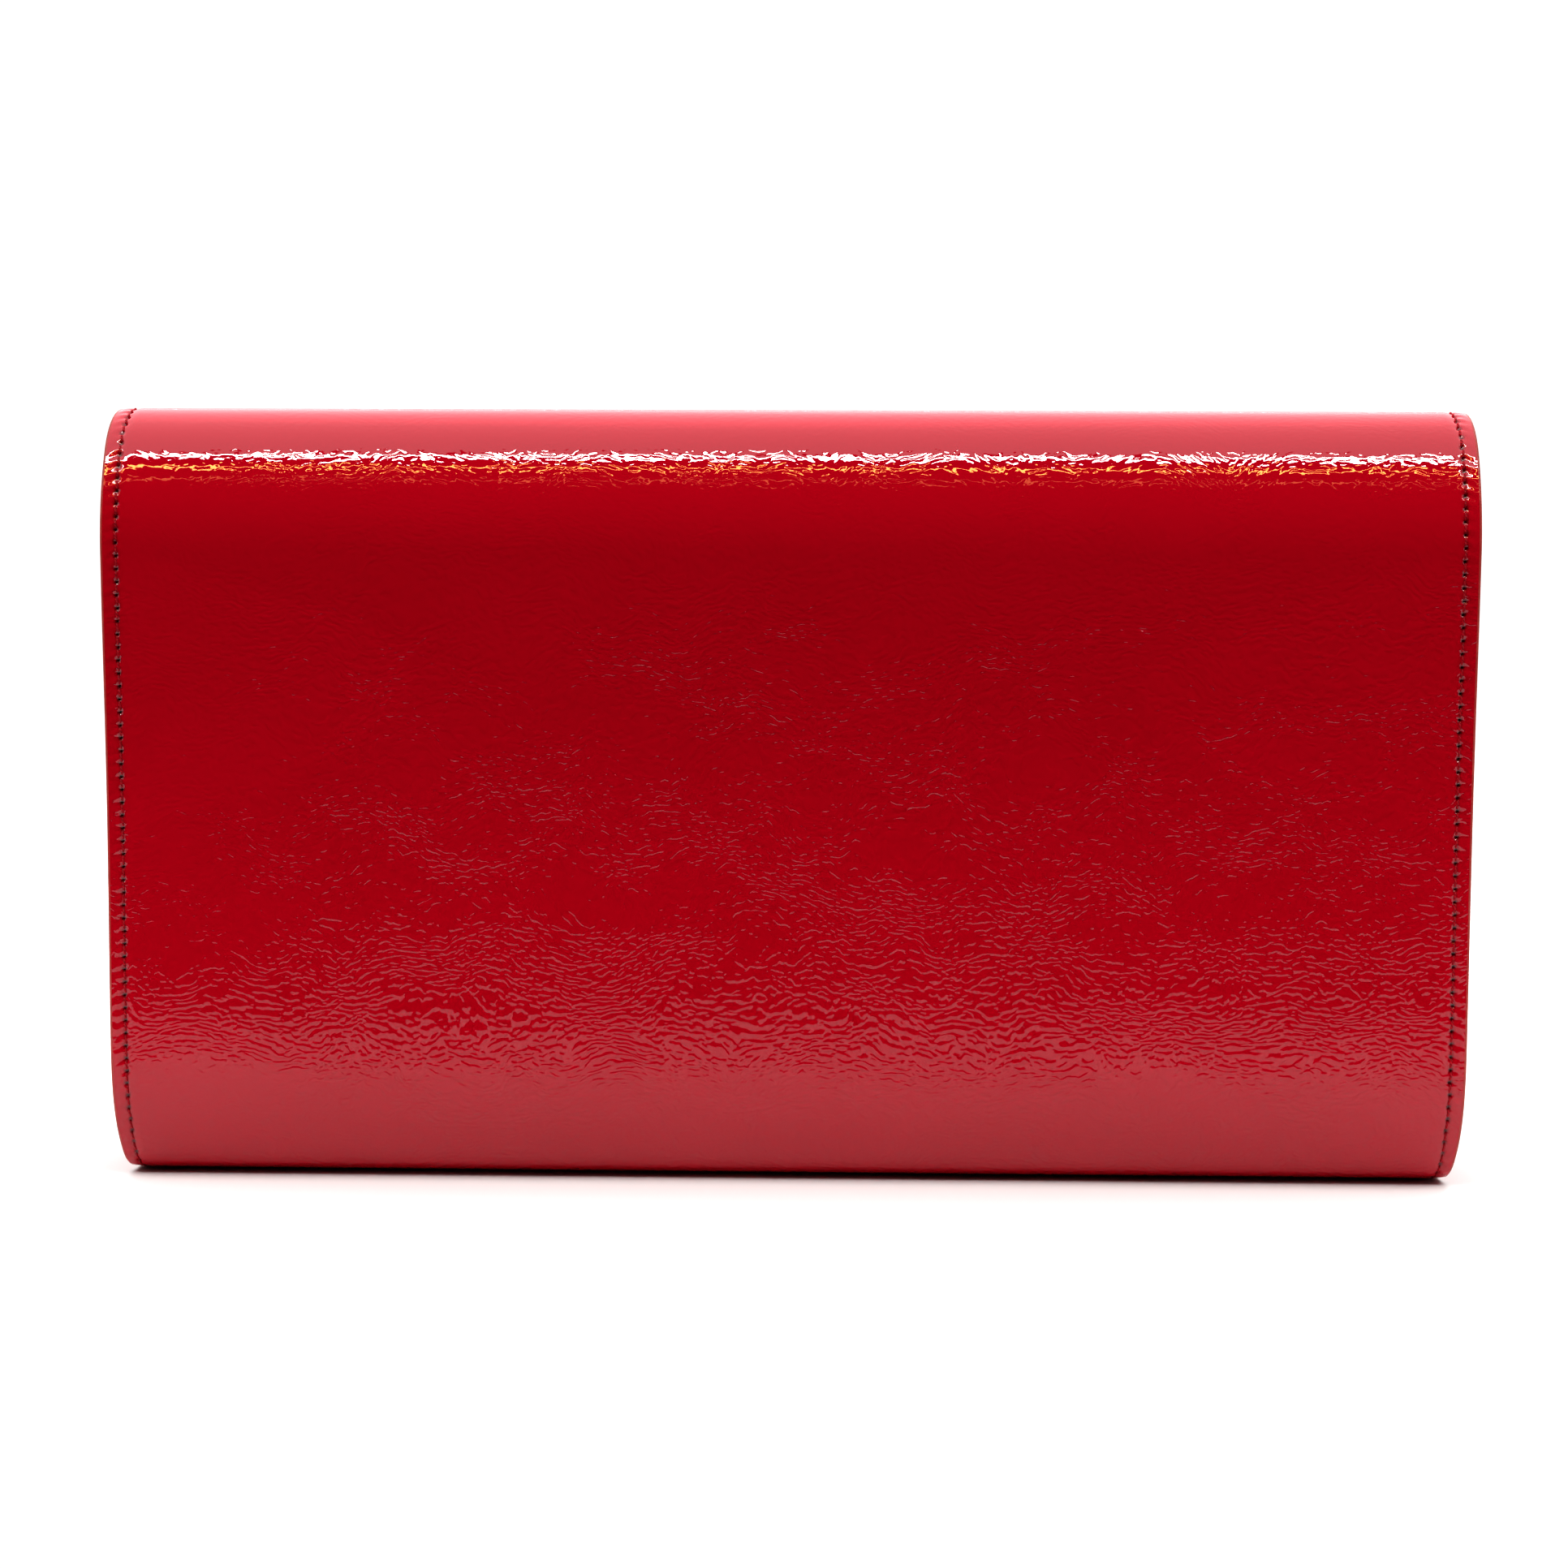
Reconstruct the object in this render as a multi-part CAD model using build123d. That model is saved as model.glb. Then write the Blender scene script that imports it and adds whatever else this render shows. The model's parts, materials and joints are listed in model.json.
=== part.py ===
"""A flap clutch purse of patent leather, as the separate pieces that it is sewn from.

Millimetres. +X runs along the purse, +Y points out of the flap side, -Y out of the plain back, +Z up.
The origin is the middle of the base, on the surface that the purse stands on.

One long hide makes the front wall, the base, the back wall, the rounded top and the flap. Its outer
surface is one path in the YZ plane, walked from the front wall's top edge to the flap's hem. Each
layer (leather, board, lining) is a band of that path between two insets, pushed out along X.
The hide is parted where it creases, because each stretch between creases moves as one body.
"""

import math
import os

from build123d import *

# Overall size.
WIDTH = 315.0
DEPTH = 44.0
HEIGHT = 180.0

# Layers, from the outside in.
LEATHER = 1.2
BOARD = 0.8
LINING = 0.6
WALL = LEATHER + BOARD + LINING

# Side seams: the gussets' flanges lie inside the leather along both ends.
BOARD_HALF_WIDTH = 148.0
FLAP_BOARD_HALF_WIDTH = 152.0
FLANGE_INNER_X = 150.0
EDGE_STEP = 0.2
BOARD_GAP = 2.0
FRONT_BOARD_DROP = 2.0
FLANGE_THICKNESS = 1.0
FLANGE_GAP = 0.3
PLEAT_X = FLANGE_INNER_X + 1.0
PLEAT_DEPTH_AT_BASE = 0.5
PLEAT_DEPTH_AT_MOUTH = 12.0

# The section's path.
FRONT_WALL_Y = 16.0
FRONT_WALL_TOP = 148.0
GUSSET_TOP = 146.0
FRONT_CORNER_RADIUS = 8.0
BASE_RISE_RADIUS = 45.0
BASE_RISE_TURN = 10.0
BACK_CORNER_RADIUS = 7.0
BACK_CORNER_TURN = 58.0
BACK_FOOT_RADIUS = 65.0
ARCH_WIDE_RADIUS = 50.0
ARCH_WIDE_TURN = 28.0
FLAP_HEM_Z = 14.0
FLAP_CORNER_RADIUS = 10.0

# Creases. A crease's axis lies in the middle of the wall's thickness.
CREASE_TURN = 43.0
CREASE_GAP = 2.2
BASE_CREASE_TURN = 45.0
BASE_CREASE_GAP = 1.7

# Lining and facing meet here, below the mouth.
FACING_BOTTOM = 128.0

# Slip pocket on the back lining.
POCKET_HALF_WIDTH = 75.0
POCKET_BOTTOM = 42.0
POCKET_TOP = 118.0
POCKET_HEM = 6.0
POCKET_HEM_THICKNESS = 0.8
POCKET_PANEL_THICKNESS = 0.7
BINDING_THICKNESS = 0.6
BINDING_HEIGHT = 9.0

# Blank patch on the facing above the pocket.
PATCH_HALF_WIDTH = 23.0
PATCH_HEIGHT = 11.0
PATCH_Z = 136.5
PATCH_THICKNESS = 0.7
PATCH_CORNER_RADIUS = 1.5

# Magnetic snap, two halves on one axis along Y.
SNAP_Z = 44.0
SNAP_RADIUS = 9.0
SNAP_BOARD_HOLE_RADIUS = 10.0
SOCKET_HEIGHT = 2.1
SOCKET_WALL = 0.4
SOCKET_HOLE_RADIUS = 3.2
SOCKET_BASE_THICKNESS = 0.5
MAGNET_HOLE_RADIUS = 3.6
MAGNET_THICKNESS = 1.1
STUD_PLATE_THICKNESS = 1.0
STUD_POLE_RADIUS = 2.5
STUD_POLE_LENGTH = 1.5
STUD_NECK_RADIUS = 1.5
WASHER_THICKNESS = 0.4
WASHER_HOLE_RADIUS = 2.0
PRONG_X = 4.0
PRONG_THICKNESS = 0.4
PRONG_HALF_WIDTH = 1.5
PRONG_BENT_END = 8.0
PRONG_CLEARANCE = 0.2
FIT_GAP = 0.05
SNAP_EDGE_RADIUS = 0.35
POLE_CHAMFER = 0.4

HALF_WIDTH = WIDTH / 2
HALF_DEPTH = DEPTH / 2
FACING_HALF_WIDTH = HALF_WIDTH - EDGE_STEP
FLANGE_INSET = LEATHER + FLANGE_GAP
GUSSET_INSET = FLANGE_INSET + FLANGE_THICKNESS


def arc_length(radius, turn):
    return radius * math.radians(turn)


def arc_move(radius, turn):
    return arc_length(radius, turn), radius, turn


def reach_and_rise(*arcs):
    """How far arcs of (radius, turn) reach along the first heading, and how far they turn off it."""
    reach, rise, heading = 0.0, 0.0, 0.0
    for radius, turn in arcs:
        end = heading + math.radians(turn)
        reach += radius * (math.sin(end) - math.sin(heading))
        rise += radius * (math.cos(heading) - math.cos(end))
        heading = end
    return reach, rise


def section_moves():
    """The outer surface as moves of (length, radius, turn); a straight move has no radius."""
    corner = [
        (BASE_RISE_RADIUS, BASE_RISE_TURN),
        (BACK_CORNER_RADIUS, BACK_CORNER_TURN),
        (BACK_FOOT_RADIUS, 90.0 - BASE_RISE_TURN - BACK_CORNER_TURN),
    ]
    corner_depth, corner_height = reach_and_rise(*corner)
    base_width = FRONT_WALL_Y - FRONT_CORNER_RADIUS + HALF_DEPTH - corner_depth
    wide = math.radians(ARCH_WIDE_TURN)
    tight_radius = (HALF_DEPTH - ARCH_WIDE_RADIUS * (1 - math.cos(wide))) / math.cos(wide)
    arch = [(ARCH_WIDE_RADIUS, ARCH_WIDE_TURN), (tight_radius, 90.0 - ARCH_WIDE_TURN)]
    arch_height, _ = reach_and_rise(*arch)
    wall_top = HEIGHT - arch_height
    return [
        (FRONT_WALL_TOP - FRONT_CORNER_RADIUS, None, 0.0),
        arc_move(FRONT_CORNER_RADIUS, 90.0),
        (base_width, None, 0.0),
        *[arc_move(*arc) for arc in corner],
        (wall_top - corner_height, None, 0.0),
        *[arc_move(*arc) for arc in arch],
        *[arc_move(*arc) for arc in reversed(arch)],
        (wall_top - FLAP_HEM_Z, None, 0.0),
    ]


MOVES = section_moves()
STATIONS = [sum(move[0] for move in MOVES[:i]) for i in range(len(MOVES) + 1)]
PATH_END = STATIONS[-1]
BASE_START, BASE_END, CORNER_START = STATIONS[2:5]
BACK_WALL_START, BACK_WALL_END = STATIONS[6], STATIONS[7]
APEX = STATIONS[9]
BASE_CREASE = STATIONS[1] + arc_length(FRONT_CORNER_RADIUS, BASE_CREASE_TURN)
REAR_CREASE = STATIONS[8] + arc_length(MOVES[8][1], CREASE_TURN - ARCH_WIDE_TURN)
FRONT_CREASE = 2 * APEX - REAR_CREASE


def walk():
    """Position (y, z) and heading in degrees at the start of each move. Every turn is clockwise."""
    y, z, heading = FRONT_WALL_Y, FRONT_WALL_TOP, -90.0
    places = []
    for length, radius, turn in MOVES:
        places.append((y, z, heading))
        y, z, heading = step(y, z, heading, length, radius, turn)
    return places


def step(y, z, heading, length, radius, turn):
    angle = math.radians(heading)
    if radius is None:
        return y + length * math.cos(angle), z + length * math.sin(angle), heading
    end = math.radians(heading - turn)
    centre_y, centre_z = y + radius * math.sin(angle), z - radius * math.cos(angle)
    return centre_y - radius * math.sin(end), centre_z + radius * math.cos(end), heading - turn


PLACES = walk()


def at(station, inset=0.0):
    """The point (y, z) at a station of the path, moved inwards by inset, and the heading there."""
    i = max(k for k in range(len(MOVES)) if STATIONS[k] <= station + 1e-9)
    length, radius, turn = MOVES[i]
    share = min(1.0, (station - STATIONS[i]) / length)
    y, z, heading = step(*PLACES[i], length * share, radius, turn * share)
    angle = math.radians(heading)
    return y + inset * math.sin(angle), z - inset * math.cos(angle), heading


def back_station(z):
    """The station on the straight back wall at height z."""
    return BACK_WALL_START + z - at(BACK_WALL_START)[1]


def path_edges(start, end, inset):
    """The path between two stations at an inset, as lines and tangent arcs."""
    edges = []
    for i, (length, radius, _) in enumerate(MOVES):
        low, high = max(start, STATIONS[i]), min(end, STATIONS[i + 1])
        if high - low < 1e-6:
            continue
        points = [Vector(0, *at(s, inset)[:2]) for s in (low, (low + high) / 2, high - 1e-9)]
        if radius is None:
            edges.append(Line(points[0], points[2]))
        else:
            edges.append(ThreePointArc(*points))
    return edges


def band_face(start, end, outer, inner):
    out, back = path_edges(start, end, outer), path_edges(start, end, inner)
    first = Line(back[0] @ 0, out[0] @ 0)
    last = Line(out[-1] @ 1, back[-1] @ 1)
    return Face(Wire([*out, last, *back, first]))


def band(start, end, outer, inner, half_width):
    """A layer of the wall between two stations and two insets, from -half_width to half_width."""
    return extrude(band_face(start, end, outer, inner), half_width, dir=(1, 0, 0), both=True)


def crease_axis(station):
    return at(station, WALL / 2)


def round_off(layer, station):
    """Rounds a layer's far end about the crease's axis, so that the next stretch can turn there."""
    y, z, heading = crease_axis(station)
    reach = 4 * WALL
    across = Plane(origin=(0, y, z), x_dir=(1, 0, 0), z_dir=(0, *heading_vector(heading)))
    beyond = across * Pos(0, 0, reach / 2) * Box(2 * WIDTH, reach, reach)
    roller = Plane(origin=(0, y, z), z_dir=(1, 0, 0)) * Cylinder(WALL / 2, 2 * WIDTH)
    return layer - (beyond - roller)


def heading_vector(heading):
    angle = math.radians(heading)
    return math.cos(angle), math.sin(angle)


def creased_band(start, crease, outer, inner, half_width):
    """A layer that ends rounded at a crease."""
    return round_off(band(start, crease + WALL / 2, outer, inner, half_width), crease)


def box(x_range, y_range, z_range):
    low = Vector(x_range[0], y_range[0], z_range[0])
    high = Vector(x_range[1], y_range[1], z_range[1])
    size = high - low
    return Pos(*((low + high) / 2)) * Box(*size)


def disc(radius, y_low, y_high):
    """A disc on the snap's axis."""
    middle = Pos(0, (y_low + y_high) / 2, SNAP_Z) * Rot(90, 0, 0)
    return middle * Cylinder(radius, y_high - y_low)


# The hide.


def back_leather():
    return creased_band(BASE_CREASE + BASE_CREASE_GAP, REAR_CREASE, 0, LEATHER, HALF_WIDTH)


def front_leather():
    leather = creased_band(0, BASE_CREASE, 0, LEATHER, HALF_WIDTH)
    return leather - prong_slots(FRONT_WALL_Y - LEATHER, FRONT_WALL_Y)


def spine_leather():
    return creased_band(REAR_CREASE + CREASE_GAP, FRONT_CREASE, 0, LEATHER, HALF_WIDTH)


def flap_outline(half_width, hem_z):
    """The flap's outline seen from the front, with rounded corners at its hem."""
    height = HEIGHT - hem_z
    outline = Rectangle(2 * half_width, 2 * height)
    outline = fillet(outline.vertices(), FLAP_CORNER_RADIUS)
    plane = Plane(origin=(0, 0, hem_z + height), x_dir=(1, 0, 0), z_dir=(0, -1, 0))
    return extrude(plane * outline, DEPTH, both=True)


def flap_leather():
    leather = band(FRONT_CREASE + CREASE_GAP, PATH_END, 0, LEATHER, HALF_WIDTH)
    return leather & flap_outline(HALF_WIDTH, FLAP_HEM_Z)


# Boards that stiffen the hide.


def back_board():
    start = CORNER_START + BOARD_GAP / 2
    return creased_band(start, REAR_CREASE, LEATHER, LEATHER + BOARD, BOARD_HALF_WIDTH)


def bottom_board():
    start, end = BASE_CREASE + BASE_CREASE_GAP, CORNER_START - BOARD_GAP / 2
    return band(start, end, LEATHER, LEATHER + BOARD, BOARD_HALF_WIDTH)


def front_board():
    board = creased_band(FRONT_BOARD_DROP, BASE_CREASE, LEATHER, LEATHER + BOARD, BOARD_HALF_WIDTH)
    inner = FRONT_WALL_Y - LEATHER - BOARD
    return board - disc(SNAP_BOARD_HOLE_RADIUS, inner - 1, inner + BOARD + FIT_GAP)


def spine_board():
    start = REAR_CREASE + CREASE_GAP
    return creased_band(start, FRONT_CREASE, LEATHER, LEATHER + BOARD, FLAP_BOARD_HALF_WIDTH)


def flap_board():
    start, margin = FRONT_CREASE + CREASE_GAP, HALF_WIDTH - FLAP_BOARD_HALF_WIDTH
    board = band(start, PATH_END - margin, LEATHER, LEATHER + BOARD, FLAP_BOARD_HALF_WIDTH)
    inner = HALF_DEPTH - LEATHER - BOARD
    return board - disc(SNAP_BOARD_HOLE_RADIUS, inner - FIT_GAP, inner + BOARD + 1)


# Lining and facings.


def back_lining():
    start, end = BASE_CREASE + BASE_CREASE_GAP, back_station(FACING_BOTTOM)
    return band(start, end, LEATHER + BOARD, WALL, BOARD_HALF_WIDTH)


def front_lining():
    start = FRONT_WALL_TOP - FACING_BOTTOM
    return creased_band(start, BASE_CREASE, LEATHER + BOARD, WALL, BOARD_HALF_WIDTH)


def front_facing():
    end = FRONT_WALL_TOP - FACING_BOTTOM
    return band(0, end, LEATHER + BOARD, WALL, BOARD_HALF_WIDTH)


def rear_facing():
    """Full width above the mouth, and between the gussets below it."""
    start = back_station(FACING_BOTTOM)
    facing = creased_band(start, REAR_CREASE, LEATHER + BOARD, WALL, FACING_HALF_WIDTH)
    for side in (-1, 1):
        x_range = sorted((side * BOARD_HALF_WIDTH, side * WIDTH))
        facing -= box(x_range, (-DEPTH, DEPTH), (0, GUSSET_TOP + 1))
    return facing


def spine_facing():
    start = REAR_CREASE + CREASE_GAP
    return creased_band(start, FRONT_CREASE, LEATHER + BOARD, WALL, FACING_HALF_WIDTH)


def flap_facing():
    start, end = FRONT_CREASE + CREASE_GAP, PATH_END - EDGE_STEP
    facing = band(start, end, LEATHER + BOARD, WALL, FACING_HALF_WIDTH)
    facing &= flap_outline(FACING_HALF_WIDTH, FLAP_HEM_Z + EDGE_STEP)
    return facing - prong_slots(FLAP_FACE_Y, FLAP_FACE_Y + LINING)


# Gussets.


def mouth_prism(inset, half_width):
    """Everything inside the walls at an inset, up to the gussets' top."""
    start, end = FRONT_WALL_TOP - GUSSET_TOP, back_station(GUSSET_TOP)
    edges = path_edges(start, end, inset)
    lid = Line(edges[-1] @ 1, edges[0] @ 0)
    return extrude(Face(Wire([*edges, lid])), half_width, dir=(1, 0, 0), both=True)


def pleat_sheet(outer_shift, thickness):
    """A V-shaped sheet across the right end. The pleat is deep at the mouth and fades at the base."""
    wall_x = PLEAT_X - outer_shift
    middle_y = (FRONT_WALL_Y - HALF_DEPTH) / 2
    half_span = (FRONT_WALL_Y + HALF_DEPTH) / 2
    ends = ((-1.0, PLEAT_DEPTH_AT_BASE), (GUSSET_TOP + 1.0, PLEAT_DEPTH_AT_MOUTH))
    sections = []
    for z, depth in ends:
        x_wall, x_pleat = wall_x, wall_x - depth
        sections.append(
            Face(
                Wire.make_polygon(
                    [
                        (x_wall, middle_y - half_span, z),
                        (x_pleat, middle_y, z),
                        (x_wall, middle_y + half_span, z),
                        (x_wall - thickness, middle_y + half_span, z),
                        (x_pleat - thickness, middle_y, z),
                        (x_wall - thickness, middle_y - half_span, z),
                    ]
                )
            )
        )
    return loft(sections, ruled=True)


def gusset(side):
    """A pleated end panel with a flange that follows the walls inside their leather."""
    flange = band(
        FRONT_WALL_TOP - GUSSET_TOP,
        back_station(GUSSET_TOP),
        FLANGE_INSET,
        GUSSET_INSET,
        HALF_WIDTH - EDGE_STEP,
    )
    flange &= box((FLANGE_INNER_X, WIDTH), (-DEPTH, DEPTH), (-1, HEIGHT))
    web = pleat_sheet(0, FLANGE_THICKNESS) & mouth_prism(FLANGE_INSET, HALF_WIDTH)
    return mirrored(flange + web, side)


def gusset_lining(side):
    sheet = pleat_sheet(FLANGE_THICKNESS + FIT_GAP, LINING)
    return mirrored(sheet & mouth_prism(WALL + FLANGE_GAP, HALF_WIDTH), side)


def mirrored(shape, side):
    return shape if side > 0 else mirror(shape, about=Plane.YZ)


# Slip pocket and patch.

POCKET_FACE_Y = -HALF_DEPTH + WALL
PANEL_FACE_Y = POCKET_FACE_Y + POCKET_HEM_THICKNESS


def slip_pocket_hem():
    """The panel's turned edges, which hold it off the lining at both sides and at the bottom."""
    y_range = (POCKET_FACE_Y, PANEL_FACE_Y)
    inner = POCKET_HALF_WIDTH - POCKET_HEM
    return Compound(
        [
            box((-POCKET_HALF_WIDTH, -inner), y_range, (POCKET_BOTTOM, POCKET_TOP)),
            box((inner, POCKET_HALF_WIDTH), y_range, (POCKET_BOTTOM, POCKET_TOP)),
            box((-inner, inner), y_range, (POCKET_BOTTOM, POCKET_BOTTOM + POCKET_HEM)),
        ]
    )


def slip_pocket_panel():
    y_range = (PANEL_FACE_Y, PANEL_FACE_Y + POCKET_PANEL_THICKNESS)
    return box((-POCKET_HALF_WIDTH, POCKET_HALF_WIDTH), y_range, (POCKET_BOTTOM, POCKET_TOP))


def slip_pocket_binding():
    """A strip folded over the panel's top edge, on its face and along its top."""
    face = PANEL_FACE_Y + POCKET_PANEL_THICKNESS
    x_range = (-POCKET_HALF_WIDTH, POCKET_HALF_WIDTH)
    strip = box(
        x_range,
        (face, face + BINDING_THICKNESS),
        (POCKET_TOP - BINDING_HEIGHT, POCKET_TOP + BINDING_THICKNESS),
    )
    cap = box(x_range, (PANEL_FACE_Y, face), (POCKET_TOP, POCKET_TOP + BINDING_THICKNESS))
    return strip + cap


def interior_patch():
    plate = box(
        (-PATCH_HALF_WIDTH, PATCH_HALF_WIDTH),
        (POCKET_FACE_Y, POCKET_FACE_Y + PATCH_THICKNESS),
        (PATCH_Z - PATCH_HEIGHT / 2, PATCH_Z + PATCH_HEIGHT / 2),
    )
    return fillet(plate.edges().filter_by(Axis.Y), PATCH_CORNER_RADIUS)


# Magnetic snap.


def prong_slots(y_low, y_high):
    """Slots that the prongs of one half pass through."""
    half = PRONG_THICKNESS / 2 + PRONG_CLEARANCE
    reach = PRONG_HALF_WIDTH + PRONG_CLEARANCE
    slots = [
        box(
            (side * PRONG_X - half, side * PRONG_X + half),
            (y_low - 1, y_high + 1),
            (SNAP_Z - reach, SNAP_Z + reach),
        )
        for side in (-1, 1)
    ]
    return Compound(slots)


def prongs(root_y, bend_y, tip_y):
    """Two legs from root_y, bent outwards between bend_y and tip_y."""
    legs = []
    z_range = (SNAP_Z - PRONG_HALF_WIDTH, SNAP_Z + PRONG_HALF_WIDTH)
    for side in (-1, 1):
        inner, outer = PRONG_X - PRONG_THICKNESS / 2, PRONG_X + PRONG_THICKNESS / 2
        leg_x = sorted((side * inner, side * outer))
        bent_x = sorted((side * inner, side * PRONG_BENT_END))
        legs.append(box(leg_x, sorted((root_y, tip_y)), z_range))
        legs.append(box(bent_x, sorted((bend_y, tip_y)), z_range))
    return legs


def washer(y_low):
    plate = disc(SNAP_RADIUS, y_low, y_low + WASHER_THICKNESS)
    hole = disc(WASHER_HOLE_RADIUS, y_low - 1, y_low + WASHER_THICKNESS + 1)
    return plate - hole - prong_slots(y_low, y_low + WASHER_THICKNESS)


def snap_socket_base():
    """The plate under the magnet, with the prongs that hold the socket to the front wall."""
    base = disc(SNAP_RADIUS - SOCKET_WALL - FIT_GAP, FRONT_WALL_Y, FRONT_WALL_Y + SOCKET_BASE_THICKNESS)
    leather_back = FRONT_WALL_Y - LEATHER
    bend = leather_back - WASHER_THICKNESS
    tip = leather_back - BOARD + FIT_GAP
    for leg in prongs(FRONT_WALL_Y, bend, tip):
        base += leg
    return base


def snap_socket_washer():
    return washer(FRONT_WALL_Y - LEATHER - WASHER_THICKNESS)


def snap_socket_case():
    top = FRONT_WALL_Y + SOCKET_HEIGHT
    cup = disc(SNAP_RADIUS, FRONT_WALL_Y, top)
    cup = fillet(cup.edges().group_by(Axis.Y)[-1], SNAP_EDGE_RADIUS)
    cup -= disc(SNAP_RADIUS - SOCKET_WALL, FRONT_WALL_Y - 1, top - SOCKET_WALL)
    return cup - disc(SOCKET_HOLE_RADIUS, FRONT_WALL_Y, top + 1)


def snap_magnet():
    low = FRONT_WALL_Y + SOCKET_BASE_THICKNESS + FIT_GAP
    ring = disc(SNAP_RADIUS - SOCKET_WALL - FIT_GAP, low, low + MAGNET_THICKNESS)
    return ring - disc(MAGNET_HOLE_RADIUS, low - 1, low + MAGNET_THICKNESS + 1)


FLAP_FACE_Y = HALF_DEPTH - WALL
STUD_PLATE_Y = FLAP_FACE_Y - STUD_PLATE_THICKNESS


def snap_stud_plate():
    """The flap's half: a plate with a hole for the pole's neck, and two prongs."""
    plate = disc(SNAP_RADIUS, STUD_PLATE_Y, FLAP_FACE_Y)
    plate = fillet(plate.edges().group_by(Axis.Y)[0], SNAP_EDGE_RADIUS)
    plate -= disc(STUD_NECK_RADIUS + FIT_GAP, STUD_PLATE_Y - 1, FLAP_FACE_Y + 1)
    bend = FLAP_FACE_Y + LINING + WASHER_THICKNESS
    tip = FLAP_FACE_Y + LINING + BOARD - FIT_GAP
    for leg in prongs(FLAP_FACE_Y - STUD_PLATE_THICKNESS / 2, bend, tip):
        plate += leg
    return plate


def snap_stud_pole():
    """The pole that enters the socket, with the neck that rivets it to the plate."""
    pole = disc(STUD_POLE_RADIUS, STUD_PLATE_Y - STUD_POLE_LENGTH, STUD_PLATE_Y)
    pole = chamfer(pole.edges().group_by(Axis.Y)[0], POLE_CHAMFER)
    return pole + disc(STUD_NECK_RADIUS, STUD_PLATE_Y, FLAP_FACE_Y)


def snap_stud_washer():
    return washer(FLAP_FACE_Y + LINING)


PARTS = {
    "back_leather": back_leather,
    "back_board": back_board,
    "bottom_board": bottom_board,
    "back_lining": back_lining,
    "rear_facing": rear_facing,
    "gusset_left": lambda: gusset(-1),
    "gusset_right": lambda: gusset(1),
    "gusset_lining_left": lambda: gusset_lining(-1),
    "gusset_lining_right": lambda: gusset_lining(1),
    "slip_pocket_hem": slip_pocket_hem,
    "slip_pocket_panel": slip_pocket_panel,
    "slip_pocket_binding": slip_pocket_binding,
    "interior_patch": interior_patch,
    "front_leather": front_leather,
    "front_board": front_board,
    "front_lining": front_lining,
    "front_facing": front_facing,
    "snap_socket_case": snap_socket_case,
    "snap_magnet": snap_magnet,
    "snap_socket_base": snap_socket_base,
    "snap_socket_washer": snap_socket_washer,
    "spine_leather": spine_leather,
    "spine_board": spine_board,
    "spine_facing": spine_facing,
    "flap_leather": flap_leather,
    "flap_board": flap_board,
    "flap_facing": flap_facing,
    "snap_stud_plate": snap_stud_plate,
    "snap_stud_pole": snap_stud_pole,
    "snap_stud_washer": snap_stud_washer,
}


def main():
    os.makedirs("parts", exist_ok=True)
    for name, make in PARTS.items():
        export_step(make(), f"parts/{name}.step")
    for name, station in (
        ("rear crease", REAR_CREASE),
        ("front crease", FRONT_CREASE),
        ("base crease", BASE_CREASE),
    ):
        y, z, heading = crease_axis(station)
        print(f"{name}: y {y:.3f} z {z:.3f} heading {heading:.1f}")
    print(f"base flat: y {at(BASE_END)[0]:.3f} to {at(BASE_START)[0]:.3f}")
    print(f"back wall: z {at(BACK_WALL_START)[1]:.3f} to {at(BACK_WALL_END)[1]:.3f}")


main()
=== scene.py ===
"""The looks of a flap clutch purse of crinkled patent leather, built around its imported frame.

Metres. The purse's outer surface is one path in the YZ plane, from the front wall's top edge, under the
base, up the back, over the top and down to the flap's hem. Every sheet is a stretch of that path: a point
of it has a place x along the purse, a station s along the path, and a depth below the outer surface.
"""

import json
import math

import bmesh
import bpy
import numpy as np
from mathutils import Matrix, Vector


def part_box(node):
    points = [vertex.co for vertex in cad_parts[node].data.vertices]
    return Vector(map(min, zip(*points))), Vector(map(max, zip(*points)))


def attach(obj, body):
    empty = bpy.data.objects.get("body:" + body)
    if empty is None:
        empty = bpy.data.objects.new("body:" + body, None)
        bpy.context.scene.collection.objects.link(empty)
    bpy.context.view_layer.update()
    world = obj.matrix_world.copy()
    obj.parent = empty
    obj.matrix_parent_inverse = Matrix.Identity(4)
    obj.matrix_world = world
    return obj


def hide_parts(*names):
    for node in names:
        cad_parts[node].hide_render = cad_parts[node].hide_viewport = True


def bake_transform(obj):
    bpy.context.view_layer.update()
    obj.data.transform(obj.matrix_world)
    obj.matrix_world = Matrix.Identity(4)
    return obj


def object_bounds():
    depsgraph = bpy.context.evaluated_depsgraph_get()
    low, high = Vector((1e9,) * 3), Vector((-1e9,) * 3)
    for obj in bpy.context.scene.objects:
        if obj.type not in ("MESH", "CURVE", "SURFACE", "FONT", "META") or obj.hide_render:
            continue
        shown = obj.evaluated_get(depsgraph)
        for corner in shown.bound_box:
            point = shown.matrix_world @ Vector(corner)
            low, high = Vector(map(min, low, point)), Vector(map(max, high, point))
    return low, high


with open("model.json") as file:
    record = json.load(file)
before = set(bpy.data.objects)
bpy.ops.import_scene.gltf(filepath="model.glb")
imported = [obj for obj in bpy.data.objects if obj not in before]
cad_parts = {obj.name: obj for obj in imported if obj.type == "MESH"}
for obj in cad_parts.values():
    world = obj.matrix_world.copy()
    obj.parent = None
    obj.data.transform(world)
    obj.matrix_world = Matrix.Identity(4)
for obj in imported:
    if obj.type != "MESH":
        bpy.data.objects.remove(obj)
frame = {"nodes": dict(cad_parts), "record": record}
CAD_LOW, CAD_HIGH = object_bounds()
MM = 0.001

# ---- sizes, from the frame

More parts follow.
